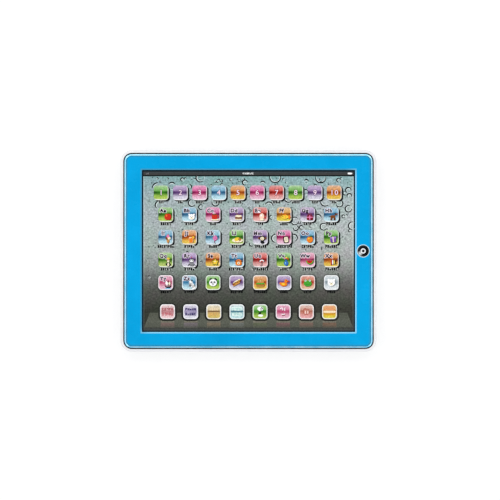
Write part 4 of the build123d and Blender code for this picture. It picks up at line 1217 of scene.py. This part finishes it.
def finish_nodes():
    """Gives every CAD node the finish of its slot in the record."""
    finishes = {slot: make().material for slot, make in OWN_FINISHES.items()}
    finishes |= {slot: moulded(slot, *look).material for slot, look in MOULDED.items()}
    finishes |= {slot: metal(slot, *look).material for slot, look in METALS.items()}
    for part in frame["record"]["subparts"]:
        node = frame["nodes"][part["node"]]
        node.data.materials.clear()
        node.data.materials.append(finishes[part["material_slot"]])


# ---------------------------------------------------------------- printed pieces
upper_places = number_places + letter_places[:-ROW_KEYS]
last_places = letter_places[-ROW_KEYS:]


def make_keys():
    """The domed key faces of every row. The last letter row has a border, and the bottom row a
    stronger one."""
    art = Artwork()
    borders = [0.0] * len(upper_places) + [0.8] * ROW_KEYS + [1.0] * ROW_KEYS
    centres = upper_places + last_places + mode_places
    for centre, inks, border in zip(centres, NUMBER_INKS + LETTER_INKS + MODE_INKS, borders):
        key_face(art, centre, inks, border)
    art.piece("key_faces", key_gloss().material)


def make_shadows():
    """The dark print that lifts the keys off the ground: cast to the lower right in the upper
    rows, and all round in the lower ones."""
    art = Artwork()
    # the keys' places, how far their shadow is cast and how far it spreads
    casts = (
        (upper_places, (1.3, -1.15), 0.4),
        (last_places, (0.5, -0.5), 1.7),
        (mode_places, (0.1, -0.1), 1.9),
    )
    for centres, shift, spread in casts:
        for centre in centres:
            key_shadow(art, centre, shift, spread)
    art.piece("key_shadows", key_shade().material)


SHADOWED_SHAPES = 4  # how many of a picture's shapes cast a shadow


def make_pictures():
    """The little pictures on the letter keys."""
    art = Artwork()
    for centre, picture in zip(letter_places, LETTER_PICTURES):
        lay_picture(art, centre, picture(), SHADOWED_SHAPES)
    art.piece("key_pictures", printed_ink("picture_ink").material)


LETTER_PLACE = (-2.5, 3.6)  # a pair of letters' middle, from its key's
LETTER_SIZE = 4.7
LETTER_BOLD = 0.25
LETTER_HALO_BOLD = 0.6
NUMBER_SIZE = 6.8
NUMBER_BOLD = 0.05
NUMBER_HALO_BOLD = 0.42


def make_letters():
    """Dark letters over a pale halo, and pale numerals over a dark one."""
    halos = Artwork()
    inks = Artwork()
    for number in range(LETTERED_KEYS):
        text = chr(ord("A") + number) + chr(ord("a") + number)
        centre = np.array(letter_places[number]) + LETTER_PLACE
        lay_letters(halos, centre, text, LETTER_SIZE, LETTER_HALO_BOLD, LETTER_HALO_LIFT, LETTER_HALO)
        lay_letters(inks, centre, text, LETTER_SIZE, LETTER_BOLD, LETTER_LIFT, LETTER_INK)
    for number, centre in enumerate(number_places):
        text = str(number + 1)
        outline = darker(NUMBER_INKS[number][0], 0.3)
        lay_letters(halos, centre, text, NUMBER_SIZE, NUMBER_HALO_BOLD, LETTER_HALO_LIFT, outline)
        lay_letters(inks, centre, text, NUMBER_SIZE, NUMBER_BOLD, LETTER_LIFT, NUMERAL)
    halos.piece("letter_halos", printed_ink("halo_ink", 0.04).material)
    inks.piece("letters", printed_ink("letter_ink", 0.06).material)


CAPTION_DROP = 8.7  # below its key's middle
CAPTION_PITCH = 1.95
NUMBER_CAPTION_PITCH = 1.5
CAPTION_HEIGHT = 2.6
CAPTION_STROKE = 0.9
CAPTION_INK = paint(4, 8, 10)
CAPTION_HALO = paint(190, 196, 192)
HALO_PAST = 0.3  # how far a caption's halo runs past its ends
HALO_HALF = 1.4  # half its height
# how many stand-in letters each key's caption has, from the number row down
CAPTION_LENGTHS = (
    3, 3, 5, 4, 4, 3, 5, 5, 4, 3,
    5, 4, 3, 4, 3, 4, 4, 5,
    8, 5, 4, 5, 6, 8, 6, 6,
    5, 5, 4, 8, 8, 4, 5, 6,
    5, 5, 5, 6, 7, 4, 4, 4,
)  # fmt: skip


def make_captions():
    """Rows of stand-in letters under the keys, over a pale halo in the upper rows."""
    halos = Artwork()
    inks = Artwork()
    for number, (x, y) in enumerate(upper_places + last_places):
        place = (x, y - CAPTION_DROP)
        length = CAPTION_LENGTHS[number]
        pitch = NUMBER_CAPTION_PITCH if number < NUMBER_KEYS else CAPTION_PITCH
        if number < len(upper_places):
            halo = slab(0, 0, length * pitch / 2 + HALO_PAST, HALO_HALF, CAPTION_HALO)
            lay_print(halos, place, CAPTION_HALO_LIFT, [halo])
        letters = word(0, 0, length, pitch, CAPTION_HEIGHT, CAPTION_STROKE, CAPTION_INK, number)
        lay_print(inks, place, CAPTION_LIFT, letters)
    halos.piece("caption_halos", printed_ink("caption_halo_ink", 0.16).material)
    inks.piece("captions", printed_ink("caption_ink").material)


def mode_words(first, upper, lower, count, stroke=0.55):
    """Two rows of stand-in letters across a bottom key, in parts of its half-width."""
    pitch = 2.1 / KEY_HALF
    stroke = stroke / KEY_HALF
    above = word(0, 2.4 / KEY_HALF, count, pitch, 2.2 / KEY_HALF, stroke, upper, first)
    return above + word(0, -2.2 / KEY_HALF, count, pitch, 2.6 / KEY_HALF, stroke, lower, first + 3)


def rose_words():
    return mode_words(0, paint(156, 44, 56), paint(196, 84, 96), 5)


def navy_words():
    return mode_words(1, paint(40, 22, 96), paint(40, 22, 96), 5, 0.7)


def amber_words():
    rule = slab(0, 0.06, 0.84, 0.05, paint(96, 44, 12))
    return [*mode_words(2, paint(250, 226, 190), paint(232, 176, 96), 4), rule]


def boxed_words():
    box = paint(226, 244, 240)
    boxes = [slab(0, 0.42, 0.72, 0.26, box), slab(0, -0.38, 0.66, 0.24, box)]
    rule = slab(0, 0.04, 0.86, 0.06, paint(44, 104, 128))
    aqua = paint(150, 206, 200)
    return [*boxes, rule, *mode_words(3, aqua, aqua, 4, 0.4)]


def music_note():
    clouds = [blob(0.04, 0.4, 0.4, 0.3, WHITE), blob(0.06, -0.52, 0.34, 0.16, WHITE)]
    note = [blob(-0.04, -0.2, 0.2, 0.14, BLACK, 15), line(0.12, -0.16, 0.12, 0.56, 0.09, BLACK)]
    return [*clouds, *note, bow(0.14, 0.36, 0.2, -10, 100, 0.1, BLACK)]


def small_figures():
    upper = [bow(-0.22, 0.34, 0.16, -60, 230, 0.1, WHITE), line(0.2, 0.1, 0.2, 0.55, 0.1, WHITE)]
    return [*upper, bow(0.0, -0.2, 0.2, 200, 150, 0.1, WHITE), slab(0.05, -0.48, 0.22, 0.06, DEEP_RED)]


def framed_figures():
    dark = paint(176, 84, 66)
    light = paint(250, 214, 204)
    edging = [bow(0, 0.05, 0.44, 100, 250, 0.08, dark), slab(0.02, 0.34, 0.4, 0.06, dark)]
    return [*edging, slab(-0.14, -0.08, 0.08, 0.2, light), slab(0.2, -0.08, 0.08, 0.2, light)]


def stripes():
    upper = [slab(0, height, 0.66, 0.09, paint(240, 160, 116)) for height in (0.62, 0.34)]
    middle = slab(0, 0.0, 0.82, 0.16, paint(250, 226, 190))
    return [*upper, middle, slab(0, -0.4, 0.7, 0.07, paint(222, 158, 30))]


MODE_PICTURES = [
    rose_words, navy_words, amber_words, boxed_words,
    music_note, small_figures, framed_figures, stripes,
]  # fmt: skip


def make_mode_prints():
    """What the bottom row's keys show: lines of stand-in words, or a small figure."""
    art = Artwork()
    for centre, picture in zip(mode_places, MODE_PICTURES):
        lay_picture(art, centre, picture())
    art.piece("mode_key_prints", printed_ink("mode_ink").material)


def lay_wash(art, corners, stops, lift, columns=6):
    """A printed panel between four corners, given from its far edge to its near one, that runs
    through inks from far to near: a grid of columns by stops."""
    far_left, far_right, near_left, near_right = (np.array(corner) for corner in corners)
    down = np.array([depth for depth, _ in stops])[:, None, None]
    over = np.linspace(0, 1, columns)[None, :, None]
    far = far_left + (far_right - far_left) * over
    near = near_left + (near_right - near_left) * over
    flat = (far + (near - far) * down).reshape(-1, 2)
    inks = np.repeat([ink for _, ink in stops], columns, axis=0)
    level = np.full((len(flat), 1), screen_z + lift)
    faces = strip_faces(len(stops), columns)[:, ::-1]
    art.add(np.hstack([flat, level]), faces, ink=inks)


SHELF_SLANT = 6.0  # how far the shelf narrows at each end, towards its back
SHELF_STOPS = (
    (0.0, paint(104, 109, 97)),
    (0.04, paint(82, 85, 74)),
    (0.5, paint(92, 95, 84)),
    (0.84, paint(84, 87, 77)),
    (0.9, paint(62, 64, 58)),
    (1.0, paint(66, 70, 70)),
)
SHELF_TONE = paint(80, 82, 73)
MIRROR_GAP = 0.3  # a reflection starts this far under its key
MIRROR_LENGTH = 8.0
MIRROR_TOP_HALF = 6.2
MIRROR_FOOT_HALF = 6.6


def make_shelf():
    """The printed shelf that the bottom row stands on, wider towards its front."""
    art = Artwork()
    back = -screen_y + SHELF_RISE
    front = -screen_y + SHELF_FRONT
    edge = screen_x - PRINT_MARGIN
    corners = ((-edge + SHELF_SLANT, back), (edge - SHELF_SLANT, back), (-edge, front), (edge, front))
    lay_wash(art, corners, SHELF_STOPS, SHELF_LIFT, 24)
    art.piece("printed_shelf", printed_ink("shelf_ink", 0.2).material)


def make_reflections():
    """A reflection under each key of the bottom row: pale at the key, then a little of its ink,
    then the shelf's own tone."""
    art = Artwork()
    for (x, y), (ink, _) in zip(mode_places, MODE_INKS):
        top = y - KEY_HALF - MIRROR_GAP
        foot = top - MIRROR_LENGTH
        soft = np.array(ink) * 0.12 + np.array(paint(100, 92, 84)) * 0.88
        stops = [
            (0.0, paint(150, 148, 132)),
            (0.1, paint(142, 138, 122)),
            (0.34, paint(112, 108, 96)),
            (0.44, soft),
            (0.7, soft * 0.6 + np.array(SHELF_TONE) * 0.4),
            (1.0, SHELF_TONE),
        ]
        upper = ((x - MIRROR_TOP_HALF, top), (x + MIRROR_TOP_HALF, top))
        lower = ((x - MIRROR_FOOT_HALF, foot), (x + MIRROR_FOOT_HALF, foot))
        lay_wash(art, (*upper, *lower), stops, REFLECTION_LIFT)
    art.piece("shelf_reflections", printed_ink("reflection_ink", 0.2).material)


STRIP_STOPS = (
    (0.0, paint(10, 26, 36)),
    (0.16, paint(46, 56, 60)),
    (0.32, paint(70, 73, 76)),
    (0.46, paint(54, 55, 56)),
    (0.62, paint(70, 69, 68)),
    (0.72, paint(46, 49, 50)),
    (0.8, paint(2, 14, 14)),
    (1.0, paint(2, 14, 14)),
)
MARKS_RAISE = 0.25  # the strip's marks stand this far above its middle
BATTERY_MARGIN = 5.0  # from the screen's right edge
SIGNAL_MARGIN = 4.0  # from its left edge


def make_status_strip():
    """The dark strip along the screen's top: stripes, a stand-in word, a signal and a battery."""
    art = Artwork()
    top = screen_y - STRIP_TOP
    low = screen_y - STRIP_DROP
    edge = screen_x - PRINT_MARGIN
    lay_wash(art, ((-edge, top), (edge, top), (-edge, low), (edge, low)), STRIP_STOPS, STRIP_LIFT, 40)
    art.piece("status_strip", printed_ink("strip_ink", 0.12).material)
    marks = Artwork()
    middle = (top + low) / 2 + MARKS_RAISE
    lay_print(marks, (-0.5, middle), CAPTION_LIFT, word(0, 0, 7, 1.45, 1.6, 0.5, WHITE, 2))
    cell = [slab(0, 0, 1.9, 0.85, WHITE), bar(2.1, 0, 0.25, 0.4, WHITE)]
    lay_print(marks, (screen_x - BATTERY_MARGIN, middle), CAPTION_LIFT, cell)
    signal = [bar(0.7 * n, -0.5 + 0.15 * n, 0.2, 0.3 + 0.15 * n, GREY) for n in range(4)]
    lay_print(marks, (-screen_x + SIGNAL_MARGIN, middle), CAPTION_LIFT, signal)
    marks.piece("status_marks", printed_ink("status_ink", 0.05).material)


# the bigger drops: x, y, radius, then where the dark side starts and how far it sweeps
BIG_DROPS = (
    (25.0, 69.4, 5.2, 150, 240), (67.7, 68.9, 4.9, 170, 200), (-45.3, 68.8, 4.0, 80, 230),
    (-85.0, 58.6, 5.4, 85, 95), (-72.0, 61.0, 3.4, 30, 120), (-56.2, 60.2, 2.6, -40, 110),
    (-83.8, 43.1, 3.7, 80, 150), (-53.2, 45.1, 3.2, 100, 230), (-31.0, 45.6, 3.3, 170, 190),
    (-3.4, 64.3, 2.3, 0, 300), (19.2, 42.1, 3.8, 5, 150), (37.6, 50.0, 4.2, 150, 170),
    (53.5, 55.0, 2.6, 20, 200), (71.9, 46.6, 4.4, 175, 135), (85.3, 44.6, 3.2, 200, 340),
    (93.7, 39.6, 3.0, 60, 300), (97.4, 23.7, 3.6, 80, 190), (89.1, 32.5, 1.4, 0, 330),
    (93.7, 57.0, 2.6, 0, 250), (94.6, 51.6, 2.2, -20, 240), (90.6, 54.4, 1.8, 100, 200),
    (43.4, 28.2, 3.6, 40, 320), (44.3, 21.7, 2.4, 180, 250), (49.6, 22.2, 1.7, 0, 300),
    (65.2, 31.2, 3.0, 0, 200), (61.3, 24.7, 2.6, 20, 160), (70.4, 22.8, 3.2, 30, 300),
    (25.4, 11.9, 3.8, 90, 180), (42.6, 12.3, 3.2, -70, 250), (2.9, 6.6, 2.0, 150, 160),
    (21.7, 31.6, 1.9, 80, 200), (13.3, 62.8, 2.6, 20, 130), (54.3, 65.0, 2.0, 20, 130),
    (-44.5, 41.2, 2.2, 60, 240), (-62.0, 67.0, 1.6, 0, 280), (84.6, 66.4, 1.8, 60, 200),
)  # fmt: skip
SMALL_DROPS = 110
DROP_SEED = 12
DROP_MARGIN = 4.0  # the small drops stay this far inside the screen's sides
DROP_GAP = 2.0  # and this far below the status strip
DROP_REACH = 1.3  # how far down they come, in parts of the screen's half-height
DROP_DARK = paint(0, 10, 12)
DROP_PALE = paint(236, 246, 244)


def drop(art, x, y, radius, start, sweep):
    """A printed drop: a dark arc, pale inside it, and a thin pale arc on its other side."""
    width = min(0.55 + 0.35 * radius, 1.25)
    inner = max(radius - 0.7 * width, 0.25)
    arcs = [
        bow(0.1, -0.1, inner, start, sweep, width * 0.4, DROP_PALE, 0.6),
        bow(0, 0, radius, start + sweep, 350 - sweep, 0.28, DROP_PALE, 0.9),
        bow(0, 0, radius, start, sweep, width, DROP_DARK, 0.55),
    ]
    for step, arc in enumerate(arcs):
        lay_print(art, (x, y), DROP_LIFT + DROP_STEP * step, [arc])


def make_drops():
    """Printed water drops, most of them near the screen's top and right."""
    art = Artwork()
    rng = np.random.default_rng(DROP_SEED)
    for _ in range(SMALL_DROPS):
        size, high, over, start, squash = rng.random(5)
        y = screen_y - STRIP_DROP - DROP_GAP - high**1.7 * DROP_REACH * screen_y
        x = (screen_x - DROP_MARGIN) * (2 * over**0.85 - 1)
        drop(art, x, y, 0.4 + 0.8 * size, 360 * start, 120 + 180 * squash)
    for x, y, radius, start, sweep in BIG_DROPS:
        drop(art, x, y, radius, start, sweep)
    art.piece("water_drops", printed_ink("drop_ink", 0.05).material)


# ---------------------------------------------------------------- floor, lights and camera
FLOOR_HALF = 6.0  # in metres, as are the panels' sizes and distance
FLOOR_GLOW = 0.5
PANEL_WIDTH = 2.2
PANEL_HEIGHT = 1.2
PANEL_DISTANCE = 1.9
PANEL_RISE = 50.0  # degrees above the floor
ROOM_TINT = (0.96, 0.98, 1.0, 1.0)
ROOM_STRENGTH = 0.42


def make_floor():
    """A pale floor that glows a little, so its shadows are soft, and is clear from below."""
    mesh = bpy.data.meshes.new("floor")
    corners = [(-FLOOR_HALF, -FLOOR_HALF, 0), (FLOOR_HALF, -FLOOR_HALF, 0)]
    corners += [(FLOOR_HALF, FLOOR_HALF, 0), (-FLOOR_HALF, FLOOR_HALF, 0)]
    mesh.from_pydata(corners, [], [(0, 1, 2, 3)])
    floor = bpy.data.objects.new("floor", mesh)
    bpy.context.collection.objects.link(floor)
    glow = {"Emission_Color": WHITE, "Emission_Strength": FLOOR_GLOW}
    finish = Finish("floor_paper", Roughness=0.9, Specular_IOR_Level=0.0, **glow)
    tone = finish.ramp(finish.noise(3.0), (0.3, paint(188, 188, 188)), (0.7, paint(190, 190, 190)))
    finish.feed("Base Color", tone)
    finish.material.cycles.emission_sampling = "NONE"
    under = finish.add("NewGeometry").outputs["Backfacing"]
    clear = finish.add("BsdfTransparent").outputs[0]
    blend = finish.add("MixShader", {0: under, 1: finish.shader.outputs[0], 2: clear})
    output = finish.tree.nodes["Material Output"]
    finish.tree.links.new(blend.outputs[0], output.inputs["Surface"])
    mesh.materials.append(finish.material)


def panel(name, direction, radiance):
    """A soft panel that faces the object from a compass direction in degrees, with its
    brightness given as radiance."""
    light = bpy.data.lights.new(name, "AREA")
    light.shape = "RECTANGLE"
    light.size = PANEL_WIDTH
    light.size_y = PANEL_HEIGHT
    light.energy = radiance * math.pi * PANEL_WIDTH * PANEL_HEIGHT
    holder = bpy.data.objects.new(name, light)
    bpy.context.collection.objects.link(holder)
    around = math.radians(direction)
    rise = math.radians(PANEL_RISE)
    level = math.cos(rise)
    away = Vector((math.cos(around) * level, math.sin(around) * level, math.sin(rise)))
    holder.location = away * PANEL_DISTANCE
    holder.rotation_mode = "QUATERNION"
    holder.rotation_quaternion = away.to_track_quat("Z", "Y")


def make_lights():
    """Four soft panels well off the zenith, brightest beyond the screen's top, and a pale room."""
    panel("far_panel", 90, 1.5)
    panel("left_panel", 180, 1.3)
    panel("right_panel", 0, 1.2)
    panel("near_panel", 270, 0.9)
    world = bpy.data.worlds.new("room")
    bpy.context.scene.world = world
    world.use_nodes = True
    room = world.node_tree.nodes["Background"]
    room.inputs["Color"].default_value = ROOM_TINT
    room.inputs["Strength"].default_value = ROOM_STRENGTH


VIEW_WIDTH = 468.75  # what the camera sees across at the face's level
VIEW_RIGHT = 1.4  # where its middle is, from the object's
VIEW_UP = 0.9
LENS = 150.0
SENSOR = 36.0


def make_camera():
    """Looks straight down at the screen."""
    camera = bpy.data.cameras.new("camera")
    camera.lens = LENS
    camera.sensor_width = SENSOR
    holder = bpy.data.objects.new("camera", camera)
    bpy.context.collection.objects.link(holder)
    height = frame_high[2] + VIEW_WIDTH * LENS / SENSOR
    holder.location = (VIEW_RIGHT * MM, VIEW_UP * MM, height * MM)
    bpy.context.scene.camera = holder


finish_nodes()
make_shelf()
make_reflections()
make_status_strip()
make_drops()
make_shadows()
make_captions()
make_keys()
make_pictures()
make_mode_prints()
make_letters()
make_floor()
make_lights()
make_camera()
bpy.context.scene.view_settings.view_transform = "Standard"
